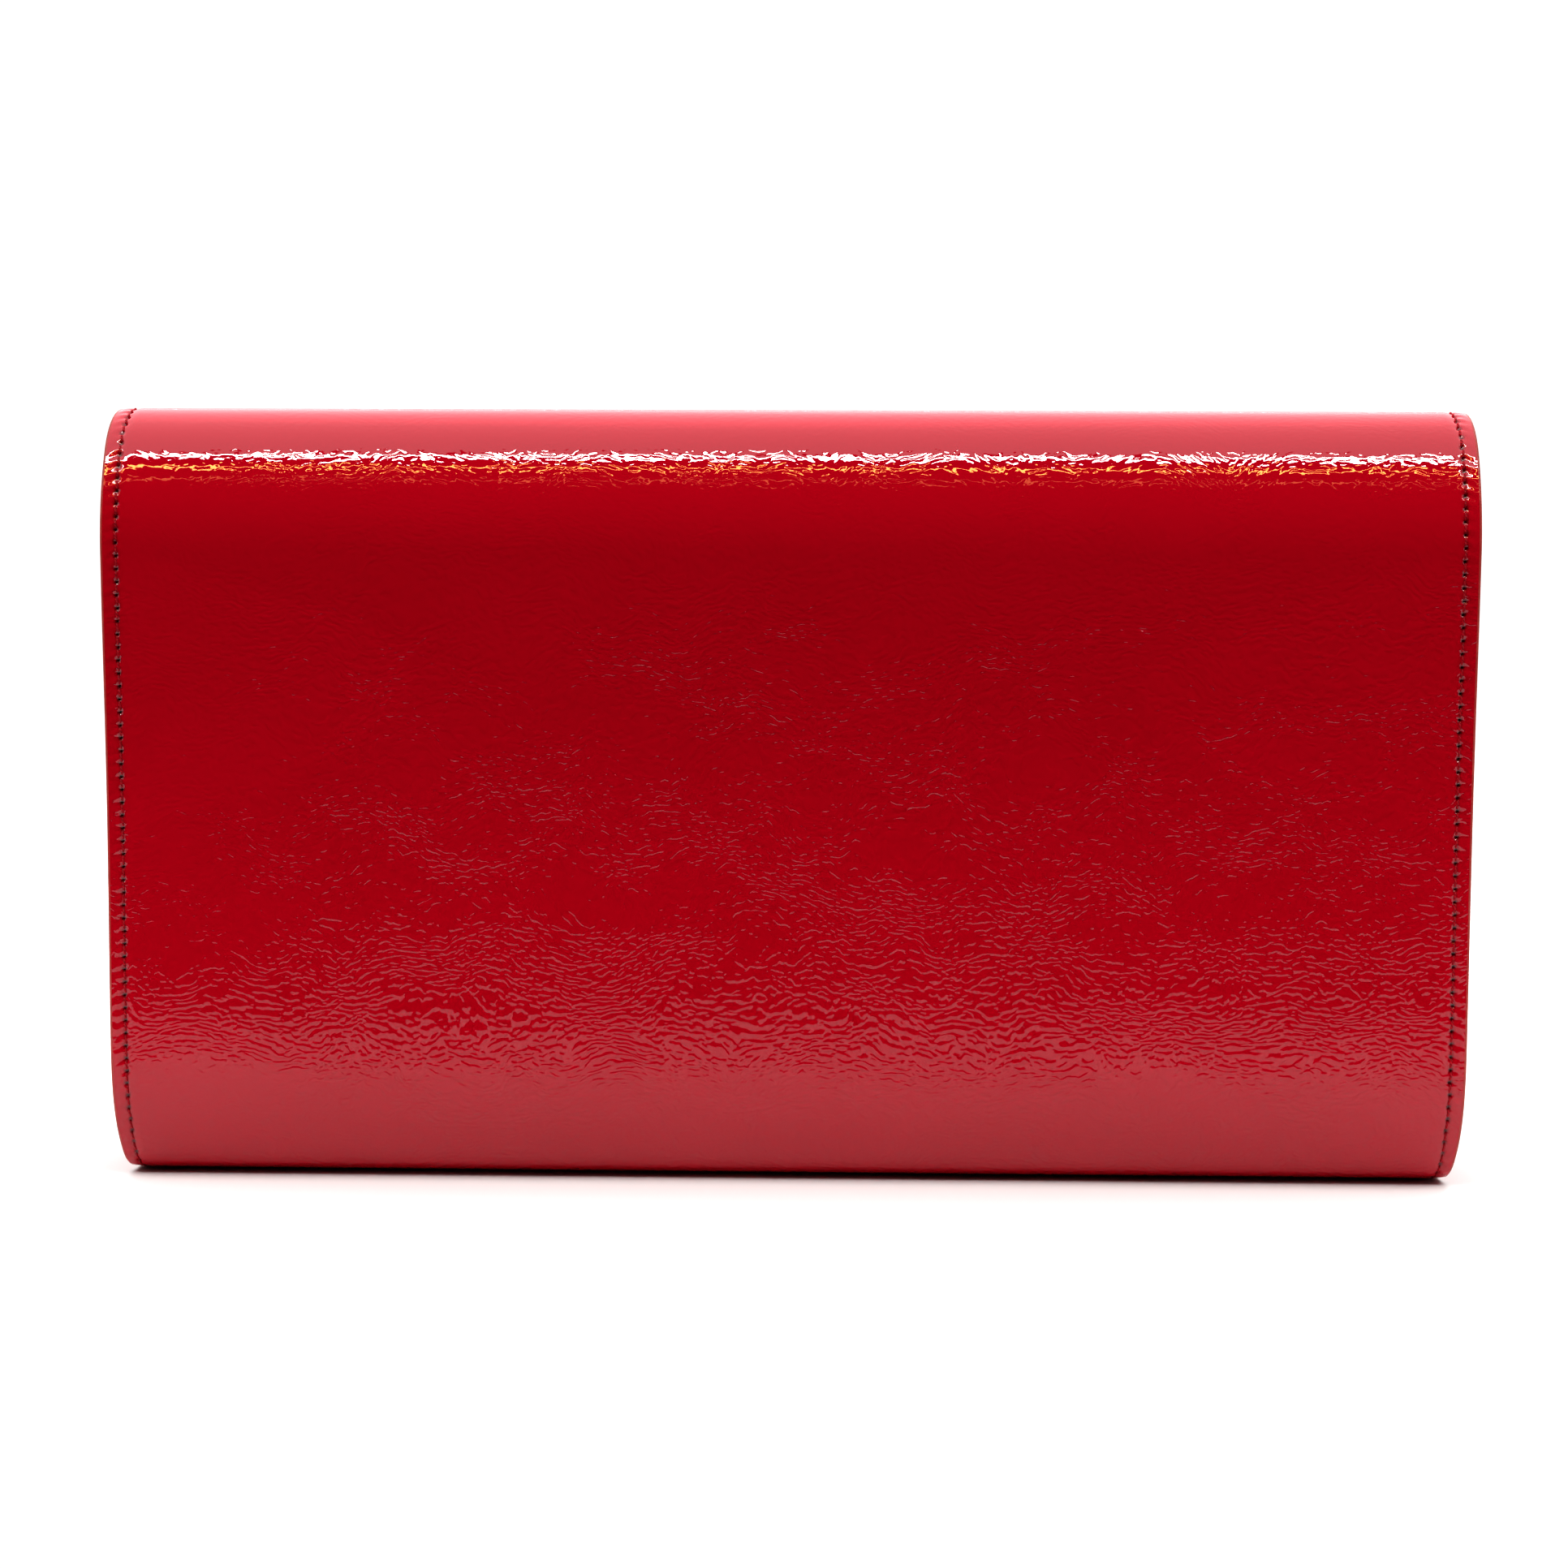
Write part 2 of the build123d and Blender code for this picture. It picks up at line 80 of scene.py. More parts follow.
HALF_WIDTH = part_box("back_leather")[1].x
HALF_DEPTH = CAD_HIGH.y
HEIGHT = CAD_HIGH.z
FRONT_WALL_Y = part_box("front_leather")[1].y
FRONT_WALL_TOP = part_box("front_leather")[1].z
GUSSET_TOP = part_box("gusset_right")[1].z
FLAP_HEM_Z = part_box("flap_leather")[0].z
BOARD_HALF_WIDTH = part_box("back_board")[1].x
FLAP_BOARD_HALF_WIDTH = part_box("flap_board")[1].x
FLANGE_INNER_X = 150.0 * MM

# ---- the path, as in the CAD source

FRONT_CORNER_RADIUS = 8.0 * MM
BASE_RISE_RADIUS = 45.0 * MM
BASE_RISE_TURN = 10.0
BACK_CORNER_RADIUS = 7.0 * MM
BACK_CORNER_TURN = 58.0
BACK_FOOT_RADIUS = 65.0 * MM
ARCH_WIDE_RADIUS = 50.0 * MM
ARCH_WIDE_TURN = 28.0
CREASE_TURN = 43.0
FLAP_CORNER_RADIUS = 10.0 * MM
LEATHER = 1.2 * MM
BOARD = 0.8 * MM
LINING = 0.6 * MM
WALL = LEATHER + BOARD + LINING
FACING_BOTTOM = 128.0 * MM
EDGE_INSET = 0.2 * MM


def arc_move(radius, turn):
    return radius * math.radians(turn), radius, turn


def reach_and_rise(*arcs):
    """How far arcs of (radius, turn) reach along the first heading, and how far they turn off it."""
    reach, rise, heading = 0.0, 0.0, 0.0
    for radius, turn in arcs:
        end = heading + math.radians(turn)
        reach += radius * (math.sin(end) - math.sin(heading))
        rise += radius * (math.cos(heading) - math.cos(end))
        heading = end
    return reach, rise


def section_moves():
    """The outer surface as moves of (length, radius, turn); a straight move has no radius."""
    corner = [
        (BASE_RISE_RADIUS, BASE_RISE_TURN),
        (BACK_CORNER_RADIUS, BACK_CORNER_TURN),
        (BACK_FOOT_RADIUS, 90.0 - BASE_RISE_TURN - BACK_CORNER_TURN),
    ]
    corner_depth, corner_height = reach_and_rise(*corner)
    base_width = FRONT_WALL_Y - FRONT_CORNER_RADIUS + HALF_DEPTH - corner_depth
    wide = math.radians(ARCH_WIDE_TURN)
    tight_radius = (HALF_DEPTH - ARCH_WIDE_RADIUS * (1 - math.cos(wide))) / math.cos(wide)
    arch = [(ARCH_WIDE_RADIUS, ARCH_WIDE_TURN), (tight_radius, 90.0 - ARCH_WIDE_TURN)]
    arch_height, _ = reach_and_rise(*arch)
    wall_top = HEIGHT - arch_height
    return [
        (FRONT_WALL_TOP - FRONT_CORNER_RADIUS, None, 0.0),
        arc_move(FRONT_CORNER_RADIUS, 90.0),
        (base_width, None, 0.0),
        *[arc_move(*arc) for arc in corner],
        (wall_top - corner_height, None, 0.0),
        *[arc_move(*arc) for arc in arch],
        *[arc_move(*arc) for arc in reversed(arch)],
        (wall_top - FLAP_HEM_Z, None, 0.0),
    ]


MOVES = section_moves()
STATIONS = [sum(move[0] for move in MOVES[:i]) for i in range(len(MOVES) + 1)]
PATH_END = STATIONS[-1]
BASE_START, BASE_END = STATIONS[2], STATIONS[3]
BACK_WALL_START, BACK_WALL_END = STATIONS[6], STATIONS[7]
APEX = STATIONS[9]
FLAP_FLAT_START = STATIONS[11]
BASE_CREASE = STATIONS[1] + FRONT_CORNER_RADIUS * math.radians(45.0)
REAR_CREASE = STATIONS[8] + MOVES[8][1] * math.radians(CREASE_TURN - ARCH_WIDE_TURN)
FRONT_CREASE = 2 * APEX - REAR_CREASE
BASE_JOIN = BASE_START + 2.0 * MM


def move_starts():
    """Position (y, z) and heading in radians at the start of each move. Every turn is clockwise."""
    y, z, heading = FRONT_WALL_Y, FRONT_WALL_TOP, -math.pi / 2
    starts = []
    for length, radius, turn in MOVES:
        starts.append((y, z, heading))
        if radius is None:
            y, z = y + length * math.cos(heading), z + length * math.sin(heading)
            continue
        end = heading - math.radians(turn)
        y += radius * (math.sin(heading) - math.sin(end))
        z += radius * (math.cos(end) - math.cos(heading))
        heading = end
    return starts


STARTS = move_starts()


def path(s):
    """Positions y, z and headings at the stations s. Beyond its ends the path runs on straight."""
    s = np.asarray(s, float)
    i = np.clip(np.searchsorted(STATIONS, s, side="right") - 1, 0, len(MOVES) - 1)
    start = np.array(STARTS)[i]
    ahead = s - np.array(STATIONS)[i]
    bend = np.array([0.0 if radius is None else 1.0 / radius for _, radius, _ in MOVES])[i]
    straight = bend == 0.0
    radius = 1.0 / np.where(straight, 1.0, bend)
    heading = start[..., 2] - ahead * bend
    arc_y = radius * (np.sin(start[..., 2]) - np.sin(heading))
    arc_z = radius * (np.cos(heading) - np.cos(start[..., 2]))
    y = start[..., 0] + np.where(straight, ahead * np.cos(heading), arc_y)
    z = start[..., 1] + np.where(straight, ahead * np.sin(heading), arc_z)
    return y, z, heading


def back_station(z):
    """The station on the straight back wall at height z."""
    return BACK_WALL_START + z - float(path(BACK_WALL_START)[1])


# ---- soft shape of the walls

BACK_HOLLOW = 1.1 * MM
FLAP_HOLLOW = 0.5 * MM
WAVE = 0.06 * MM
SNAP_Z = (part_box("snap_stud_plate")[0].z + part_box("snap_stud_plate")[1].z) / 2
SNAP_STATION = PATH_END - (SNAP_Z - FLAP_HEM_Z)
SNAP_FLAT_RADIUS = 26.0 * MM
CORNER_PULL = 3.6 * MM
PULL_START_X = 148.0 * MM
PULL_FADE = 5.5 * MM
BACK_PULL_REACH = 11.5 * MM
FRONT_PULL_REACH = 10.0 * MM


def smoothstep(low, high, value):
    t = np.clip((value - low) / (high - low), 0.0, 1.0)
    return t * t * (3 - 2 * t)


def bell(start, end, s):
    """Rises from 0 at start to 1 half way to end, and falls to 0 again."""
    return np.sin(np.pi * np.clip((s - start) / (end - start), 0.0, 1.0)) ** 2


def hollow(x, s):
    """How far the walls lie inside the drawn section, because hide on board is never quite flat."""
    back = bell(BACK_WALL_START - 2 * MM, BACK_WALL_END + 4 * MM, s)
    flap = bell(FLAP_FLAT_START, PATH_END + 60 * MM, s)
    waves = np.sin(x / (31 * MM) + s / (47 * MM)) + np.sin(x / (19 * MM) - s / (23 * MM) + 1.3)
    waves = waves + 0.7 * np.sin(x / (12.7 * MM) + 2.1) * np.sin(s / (15 * MM) + 0.4)
    by_snap = smoothstep(0.5, 1.0, np.hypot(x, s - SNAP_STATION) / SNAP_FLAT_RADIUS)
    return back * (BACK_HOLLOW + WAVE * waves) + flap * by_snap * (FLAP_HOLLOW + 0.6 * WAVE * waves)


def pull_in(x, s):
    """How far the gussets' seams draw the hide's sides in, round the base and its two corners."""
    past_back = (s - BASE_END - BACK_PULL_REACH) / PULL_FADE
    past_front = (BASE_START - s - FRONT_PULL_REACH) / PULL_FADE
    pull = CORNER_PULL / (1 + np.exp(np.maximum(past_back, past_front)))
    share = np.clip((np.abs(x) - PULL_START_X) / (HALF_WIDTH - PULL_START_X), 0.0, 1.0)
    return pull * share


def point(x, s, depth):
    """Points in the row frame for places x, stations s and depths below the outer surface."""
    y, z, heading = path(s)
    inward = depth + hollow(x, s)
    drawn_x = x - np.sign(x) * pull_in(x, s)
    return np.stack([drawn_x, y + inward * np.sin(heading), z - inward * np.cos(heading)], axis=-1)


# ---- seams

STITCH_PITCH = 3.0 * MM
SEAM_MARGIN = 3.7 * MM
HEM_SEAM_RADIUS = FLAP_CORNER_RADIUS - SEAM_MARGIN
CORNER_X = HALF_WIDTH - FLAP_CORNER_RADIUS
CORNER_STATION = PATH_END - FLAP_CORNER_RADIUS
CORNER_SEAM = HEM_SEAM_RADIUS * math.pi / 2
GROOVE_DEPTH = 0.12 * MM
HOLE_DEPTH = 0.60 * MM
SHOULDER = 0.16 * MM
PUCKER = 0.08 * MM
PUCKER_REACH = 1.3 * MM
HOLE_LENGTH = 0.46 * MM
HOLE_WIDTH = 0.42 * MM
GROOVE_WIDTH = 0.75 * MM
STITCH_WANDER = 0.10 * MM
SHOULDER_FADE = 2.4 * MM
ROUNDING = 0.22 * MM
ROUNDING_REACH = 2.2 * MM


def edge_place(x, s, has_hem):
    """Distance inwards from the hide's cut edge, and the distance run along the seam."""
    across, along = np.abs(x), s + 0 * x
    distance = HALF_WIDTH - across
    if not has_hem:
        return distance, along
    dx, ds = across - CORNER_X, along - CORNER_STATION
    in_corner = (dx > 0) & (ds > 0)
    on_hem = (ds > dx) & ~in_corner & (PATH_END - along < distance)
    distance = np.where(in_corner, FLAP_CORNER_RADIUS - np.hypot(dx, ds), distance)
    distance = np.where(on_hem, PATH_END - along, distance)
    angle = np.arctan2(np.maximum(ds, 0), np.maximum(dx, 1e-9))
    run = np.where(in_corner, CORNER_STATION + HEM_SEAM_RADIUS * angle, along)
    return distance, np.where(on_hem, CORNER_STATION + CORNER_SEAM + CORNER_X - across, run)


def seam_place(run, side, has_hem):
    """The place x, station s and the direction (dx, ds) of a seam, at a distance run along it."""
    x = HALF_WIDTH - SEAM_MARGIN
    if not has_hem or run <= CORNER_STATION:
        return side * x, run, (0.0, 1.0)
    angle = (run - CORNER_STATION) / HEM_SEAM_RADIUS
    if angle < math.pi / 2:
        x = CORNER_X + HEM_SEAM_RADIUS * math.cos(angle)
        s = CORNER_STATION + HEM_SEAM_RADIUS * math.sin(angle)
        return side * x, s, (-side * math.sin(angle), math.cos(angle))
    left = run - CORNER_STATION - CORNER_SEAM
    return side * (CORNER_X - left), PATH_END - SEAM_MARGIN, (-side, 0.0)


def uneven(number, salt):
    """A repeatable value from -1 to 1 for each whole number."""
    return 2 * np.mod(np.sin(number * 12.9898 + salt * 78.233) * 43758.5453, 1.0) - 1


def seam_relief(x, s, has_hem):
    """Depth that the seam presses into the hide, and how near a point is to a needle hole."""
    distance, run = edge_place(x, s, has_hem)
    number = np.round(run / STITCH_PITCH)
    from_hole = run - number * STITCH_PITCH
    side_shift = STITCH_WANDER * uneven(number, 1.0)
    off = distance - SEAM_MARGIN - side_shift
    hole = np.exp(-(from_hole / HOLE_LENGTH) ** 2 - (off / HOLE_WIDTH) ** 2)
    groove = np.exp(-(off / GROOVE_WIDTH) ** 2)
    ripple = np.cos(2 * np.pi * (run - 0.35 * off) / STITCH_PITCH) * (1 + 0.5 * uneven(number, 2.0))
    puckers = ripple * np.exp(-((off + 0.9 * MM) / PUCKER_REACH) ** 2)
    margin = 1 - smoothstep(SEAM_MARGIN, SEAM_MARGIN + SHOULDER_FADE, distance)
    rounding = np.clip(1 - distance / ROUNDING_REACH, 0, 1) ** 2
    depth = GROOVE_DEPTH * groove + HOLE_DEPTH * hole * (1 + 0.2 * uneven(number, 3.0))
    depth = depth + PUCKER * puckers + SHOULDER * margin + ROUNDING * rounding
    return depth, hole


# ---- meshes

RIM_STEPS = 6


def new_object(name, vertices, faces, materials):
    mesh = bpy.data.meshes.new(name)
    mesh.from_pydata(np.asarray(vertices).tolist(), [], faces)
    mesh.validate()
    turned = bmesh.new()
    turned.from_mesh(mesh)
    bmesh.ops.recalc_face_normals(turned, faces=turned.faces)
    turned.to_mesh(mesh)
    turned.free()
    mesh.polygons.foreach_set("use_smooth", [True] * len(mesh.polygons))
    for material in materials:
        mesh.materials.append(material)
    made = bpy.data.objects.new(name, mesh)
    bpy.context.scene.collection.objects.link(made)
    return made


def lay_out(made, places):
    """Gives each vertex its place on the flat sheet, in metres, for the materials."""
    corner = np.zeros(len(made.data.loops), np.int32)
    made.data.loops.foreach_get("vertex_index", corner)
    layer = made.data.uv_layers.new(name="sheet")
    layer.data.foreach_set("uv", places[corner].astype(np.float32).ravel())


def grid_faces(rows, columns):
    """The faces of the outer and the inner side of a sheet whose two grids follow each other."""
    index = np.arange(rows * columns).reshape(rows, columns)
    a, b, c, d = index[:-1, :-1], index[:-1, 1:], index[1:, 1:], index[1:, :-1]
    outer = np.stack([a, b, c, d], -1).reshape(-1, 4)
    inner = np.stack([d, c, b, a], -1).reshape(-1, 4) + index.size
    return index, outer.tolist(), inner.tolist()


def stations(start, end, step, join_start, join_end):
    """Stations from start to end. A joined end gets a very narrow row, so that its shading runs on."""
    narrow = 0.05 * MM
    count = max(2, int(round((end - start) / step)) + 1)
    rows = np.linspace(start, end, count)
    if join_start:
        rows = np.insert(rows, 1, start + narrow)
    if join_end:
        rows = np.insert(rows, -1, end - narrow)
    return rows


def shares(margin, fine, coarse, half):
    """Distances in from the edge: fine steps over the margin, then coarse ones to the middle."""
    near = np.arange(0.0, margin, fine)
    far = np.linspace(margin, half, max(2, int(round((half - margin) / coarse)) + 1))
    return np.concatenate([near, far])


class Sheet:
    """A sheet with real thickness between two stations, with rounded free edges."""

    def __init__(self, name, start, end, top, thickness, half_width, materials, **options):
        self.name, self.top, self.thickness = name, top, thickness
        self.half_width, self.materials = half_width, materials
        self.start, self.end = start, end
        self.hem = options.get("hem", False)
        self.joins = options.get("joins", (True, True))
        self.relief = options.get("relief")
        self.lift = options.get("lift")
        self.step = options.get("step", 1.5 * MM)
        self.margin = options.get("margin", (0.0, 1.0 * MM))
        self.coarse = options.get("coarse", 6.0 * MM)

    def rows(self):
        """Stations, half widths and the outline's normal (nx, ns) for each row of the grid."""
        r = self.thickness / 2
        start = self.start if self.joins[0] else self.start + r
        end = self.end if self.joins[1] else self.end - r
        if not self.hem:
            s = stations(start, end, self.step, *self.joins)
            return s, np.full(len(s), self.half_width - r), np.tile([1.0, 0.0], (len(s), 1))
        radius = FLAP_CORNER_RADIUS - (HALF_WIDTH - self.half_width) - r
        s = stations(start, end - radius, self.step, self.joins[0], False)
        angle = np.linspace(0, math.pi / 2, 22)[1:]
        corner = end - radius + radius * np.sin(angle)
        width = self.half_width - r - radius * (1 - np.cos(angle))
        normals = np.column_stack([np.cos(angle), np.sin(angle)])
        flat = np.tile([1.0, 0.0], (len(s), 1))
        half = np.concatenate([np.full(len(s), self.half_width - r), width])
        return np.concatenate([s, corner]), half, np.concatenate([flat, normals])

    def grid(self):
        s, half, normal = self.rows()
        inwards = shares(self.margin[0], self.margin[1], self.coarse, self.half_width)
        scale = (half - self.margin[0]) / (self.half_width - self.margin[0])
        near = inwards <= self.margin[0]
        left = np.where(near, inwards, self.margin[0] + (inwards - self.margin[0]) * scale[:, None])
        x = half[:, None] - left
        x = np.concatenate([-x, x[:, -2::-1]], axis=1)
        return x, np.repeat(s[:, None], x.shape[1], axis=1), normal

    def depth_at(self, x, s):
        lift = 0 * x if self.lift is None else self.lift(x, s)
        return self.top + lift

    def build(self):
        x, s, normal = self.grid()
        n_rows, n_columns = x.shape
        pressed, holes = (0 * x, 0 * x) if self.relief is None else self.relief(x, s)
        top = self.depth_at(x, s)
        layers = [(x, s, top + pressed), (x, s, top + self.thickness)]
        vertices = [point(*layer).reshape(-1, 3) for layer in layers]
        uv = [np.stack([x + HALF_WIDTH, s], -1).reshape(-1, 2)] * 2
        hole_values = [holes.ravel(), np.zeros(holes.size)]
        loop, normals = self.outline(n_rows, n_columns, normal)
        r = self.thickness / 2
        flat_x, flat_s, flat_top = x.ravel()[loop], s.ravel()[loop], top.ravel()[loop]
        start_depth = (top + pressed).ravel()[loop]
        ring = []
        for k in range(1, RIM_STEPS):
            angle = math.pi * k / RIM_STEPS
            out = r * math.sin(angle)
            sink = (start_depth - flat_top) * (1 - k / RIM_STEPS)
            depth = flat_top + r * (1 - math.cos(angle)) + sink
            rim_x, rim_s = flat_x + out * normals[:, 0], flat_s + out * normals[:, 1]
            ring.append(sum(len(v) for v in vertices))
            vertices.append(point(rim_x, rim_s, depth))
            uv.append(np.stack([rim_x + HALF_WIDTH, rim_s], -1))
            hole_values.append(np.zeros(len(loop)))
        return self.finish(n_rows, n_columns, loop, ring, vertices, uv, hole_values)

    def outline(self, n_rows, n_columns, normal):
        """Grid indices round the free edge, and the outline's normals there."""
        index = np.arange(n_rows * n_columns).reshape(n_rows, n_columns)
        mirrored = normal * [-1, 1]
        if self.joins[1]:
            return self.two_sides(index, normal, mirrored)
        loop, normals = list(index[:, 0]), list(mirrored)
        loop += list(index[-1, 1:-1])
        normals += [np.array([0.0, 1.0])] * (n_columns - 2)
        loop += list(index[::-1, -1])
        normals += list(normal[::-1])
        if not self.joins[0]:
            loop += list(index[0, -2:0:-1])
            normals += [np.array([0.0, -1.0])] * (n_columns - 2)
        self.chains = [(0, len(loop), not self.joins[0])]
        return np.array(loop), np.array(normals)

    def two_sides(self, index, normal, mirrored):
        """Two free sides, or a free start with its two sides when only the end is joined."""
        if self.joins[0]:
            loop = np.concatenate([index[:, 0], index[::-1, -1]])
            self.chains = [(0, len(index), False), (len(index), 2 * len(index), False)]
            return loop, np.concatenate([mirrored, normal[::-1]])
        head = index[0, -2:0:-1]
        loop = np.concatenate([index[::-1, -1], head, index[:, 0]])
        self.chains = [(0, len(loop), False)]
        return loop, np.concatenate([normal[::-1], np.tile([0.0, -1.0], (len(head), 1)), mirrored])

    def finish(self, n_rows, n_columns, loop, ring, vertices, uv, hole_values):
        count = n_rows * n_columns
        index, outer, inner = grid_faces(n_rows, n_columns)
        faces = outer + inner
        kinds = [0] * len(outer) + [1] * len(inner)
        columns = [loop] + [first + np.arange(len(loop)) for first in ring] + [loop + count]
        for start, end, closed in self.chains:
            places = list(range(start, end)) + ([start] if closed else [])
            for upper, lower in zip(columns[:-1], columns[1:]):
                for i, j in zip(places[:-1], places[1:]):
                    faces.append([int(upper[j]), int(upper[i]), int(lower[i]), int(lower[j])])
                    kinds.append(2)
        walls = self.end_walls(index, count, columns)
        faces += walls
        kinds += [1] * len(walls)
        made = new_object(self.name, np.concatenate(vertices), faces, self.materials)
        self.paint(made, kinds, np.concatenate(uv), np.concatenate(hole_values), len(walls))
        return made

    def end_walls(self, index, count, columns):
        """The flat faces where this sheet meets the next one."""
        places = {int(v): i for i, v in enumerate(columns[0])}
        walls = []
        for joined, row, flip in ((self.joins[0], index[0], False), (self.joins[1], index[-1], True)):
            if not joined:
                continue
            left = [int(c[places[int(row[0])]]) for c in columns]
            right = [int(c[places[int(row[-1])]]) for c in columns]
            wall = [int(v) for v in row[1:-1]] + right + [int(v) + count for v in row[-2:0:-1]] + left[::-1]
            walls.append(wall[::-1] if not flip else wall)
        return walls

    def paint(self, made, kinds, uv, holes, n_walls):
        mesh = made.data
        slots = np.minimum(np.array(kinds), len(self.materials) - 1)
        mesh.polygons.foreach_set("material_index", slots.astype(np.int32))
        lay_out(made, uv)
        # The needle-hole mask, which the patent leather uses to paint shade into the holes.
        attribute = mesh.attributes.new("hole", "FLOAT", "POINT")
        attribute.data.foreach_set("value", holes.astype(np.float32))
        sharp = mesh.attributes.get("sharp_edge") or mesh.attributes.new("sharp_edge", "BOOLEAN", "EDGE")
        if n_walls:
            wall_edges = {key for wall in list(mesh.polygons)[-n_walls:] for key in wall.edge_keys}
            flags = [tuple(sorted(e.vertices)) in wall_edges for e in mesh.edges]
            sharp.data.foreach_set("value", flags)


# ---- material helpers


class Nodes:
    """A material's node tree, with short calls for what the materials here need."""

    def __init__(self, name):
        self.material = bpy.data.materials.new(name)
        self.material.use_nodes = True
        self.tree = self.material.node_tree
        self.shader = self.tree.nodes["Principled BSDF"]

    def node(self, kind, inputs=None, **settings):
        made = self.tree.nodes.new(kind)
        for key, value in settings.items():
            setattr(made, key, value)
        for key, value in (inputs or {}).items():
            self.give(made.inputs[key], value)
        return made

    def give(self, socket, value):
        if isinstance(value, bpy.types.NodeSocket):
            self.tree.links.new(value, socket)
        else:
            socket.default_value = value

    def set(self, **values):
        for key, value in values.items():
            self.give(self.shader.inputs[key.replace("_", " ")], value)

    def math(self, operation, a, b=0.0, c=0.0):
        return self.node("ShaderNodeMath", {0: a, 1: b, 2: c}, operation=operation).outputs[0]

    def vector(self, operation, a, b):
        return self.node("ShaderNodeVectorMath", {0: a, 1: b}, operation=operation).outputs[0]

    def sheet_place(self):
        return self.node("ShaderNodeUVMap", uv_map="sheet").outputs[0]

    def object_place(self):
        return self.node("ShaderNodeTexCoord").outputs["Object"]

    def noise(self, place, scale, detail=2.0, rough=0.5, output="Fac"):
        inputs = {"Vector": place, "Scale": scale, "Detail": detail, "Roughness": rough}
        return self.node("ShaderNodeTexNoise", inputs).outputs[output]

    def wave(self, place, scale, direction, distortion, **more):
        inputs = {"Vector": place, "Scale": scale, "Distortion": distortion}
        inputs.update({key.replace("_", " "): value for key, value in more.items()})
        return self.node("ShaderNodeTexWave", inputs, bands_direction=direction).outputs["Fac"]

    def remap(self, value, low, high, to_low, to_high):
        inputs = {0: value, 1: low, 2: high, 3: to_low, 4: to_high}
        return self.node("ShaderNodeMapRange", inputs).outputs[0]

    def mix(self, share, a, b):
        made = self.node("ShaderNodeMix", data_type="RGBA")
        self.give(made.inputs["Factor"], share)
        self.give(made.inputs[6], a)
        self.give(made.inputs[7], b)
        return made.outputs[2]

    def bump(self, height, distance, strength=1.0, below=None):
        inputs = {"Height": height, "Distance": distance, "Strength": strength}
        if below is not None:
            inputs["Normal"] = below
        return self.node("ShaderNodeBump", inputs).outputs[0]


def colour(red, green, blue):
    return (red, green, blue, 1.0)


# ---- materials

PATENT_RED = colour(0.505, 0.0010, 0.022)
PATENT_DEEP = colour(0.460, 0.0006, 0.018)
# Painted shade: the colour the base colour is pulled to at the needle holes, standing in for the shade
# inside each hole.
HOLE_PAINTED_SHADE = colour(0.11, 0.0008, 0.006)
LACQUER_IOR = 1.66
CRINKLE_HEIGHT = 0.048 * MM
CREASE_SCALE = (540.0, 900.0, 1.0)
BROAD_SCALE = (170.0, 290.0, 1.0)
WIDE_WANDER = (0.015, 0.019, 0.0)
SMALL_WANDER = (0.0026, 0.0032, 0.0)
ARCH_SHARE = 0.20
SIDE_SHARE = 0.6
PEEL_HEIGHT = 0.003 * MM


def crinkle(n):
    """Fine creases, longer along the purse than down it, whose direction wanders.

    The hide is stretched over the rounded top and near one side, so the creases are shallower there.
    """
    place = n.sheet_place()
    half = (0.5, 0.5, 0.5)
    wide = n.vector("SUBTRACT", n.noise(place, 36.0, detail=1.0, output="Color"), half)
    small = n.vector("SUBTRACT", n.noise(place, 190.0, output="Color"), half)
    bent = n.vector("ADD", place, n.vector("MULTIPLY", wide, WIDE_WANDER))
    bent = n.vector("ADD", bent, n.vector("MULTIPLY", small, SMALL_WANDER))
    fine = n.noise(n.vector("MULTIPLY", bent, CREASE_SCALE), 1.0, detail=0.4, rough=0.35)
    steps = n.node("ShaderNodeMapRange", {0: fine, 1: 0.33, 2: 0.67}, interpolation_type="SMOOTHSTEP")
    creases = n.math("ADD", steps.outputs[0], n.math("MULTIPLY", fine, 1.2))
    broad = n.noise(n.vector("MULTIPLY", bent, BROAD_SCALE), 1.0, detail=1.0)
    patches = n.remap(n.noise(place, 17.0, detail=1.5), 0.32, 0.68, 0.9, 1.1)
    parts = n.node("ShaderNodeSeparateXYZ", {0: place}).outputs
    from_apex = n.math("ABSOLUTE", n.math("SUBTRACT", parts["Y"], APEX))
    share = n.remap(from_apex, 30 * MM, 58 * MM, ARCH_SHARE, 1.0)
    share = n.math("MULTIPLY", share, n.remap(parts["X"], 18 * MM, 62 * MM, SIDE_SHARE, 1.0))
    height = n.math("ADD", n.math("MULTIPLY", creases, patches), n.math("MULTIPLY", broad, 1.4))
    return n.math("MULTIPLY", height, share), place


def patent_leather():
    n = Nodes("patent_leather")
    height, place = crinkle(n)
    normal = n.bump(n.noise(place, 1100.0, detail=1.0), PEEL_HEIGHT)
    normal = n.bump(height, CRINKLE_HEIGHT, below=normal)
    tone = n.mix(n.noise(place, 30.0, detail=3.0), PATENT_DEEP, PATENT_RED)
    # Painted shade: the base colour darkens towards each needle hole, for the shade that falls into it.
    hole = n.node("ShaderNodeAttribute", attribute_name="hole").outputs["Fac"]
    tone = n.mix(n.math("MINIMUM", n.math("MULTIPLY", hole, 1.5), 1.0), tone, HOLE_PAINTED_SHADE)
    smear = n.remap(n.noise(place, 45.0, detail=4.0), 0.4, 0.75, 0.012, 0.035)
    n.set(Base_Color=tone, Roughness=smear, Normal=normal, IOR=LACQUER_IOR)
    return n.material


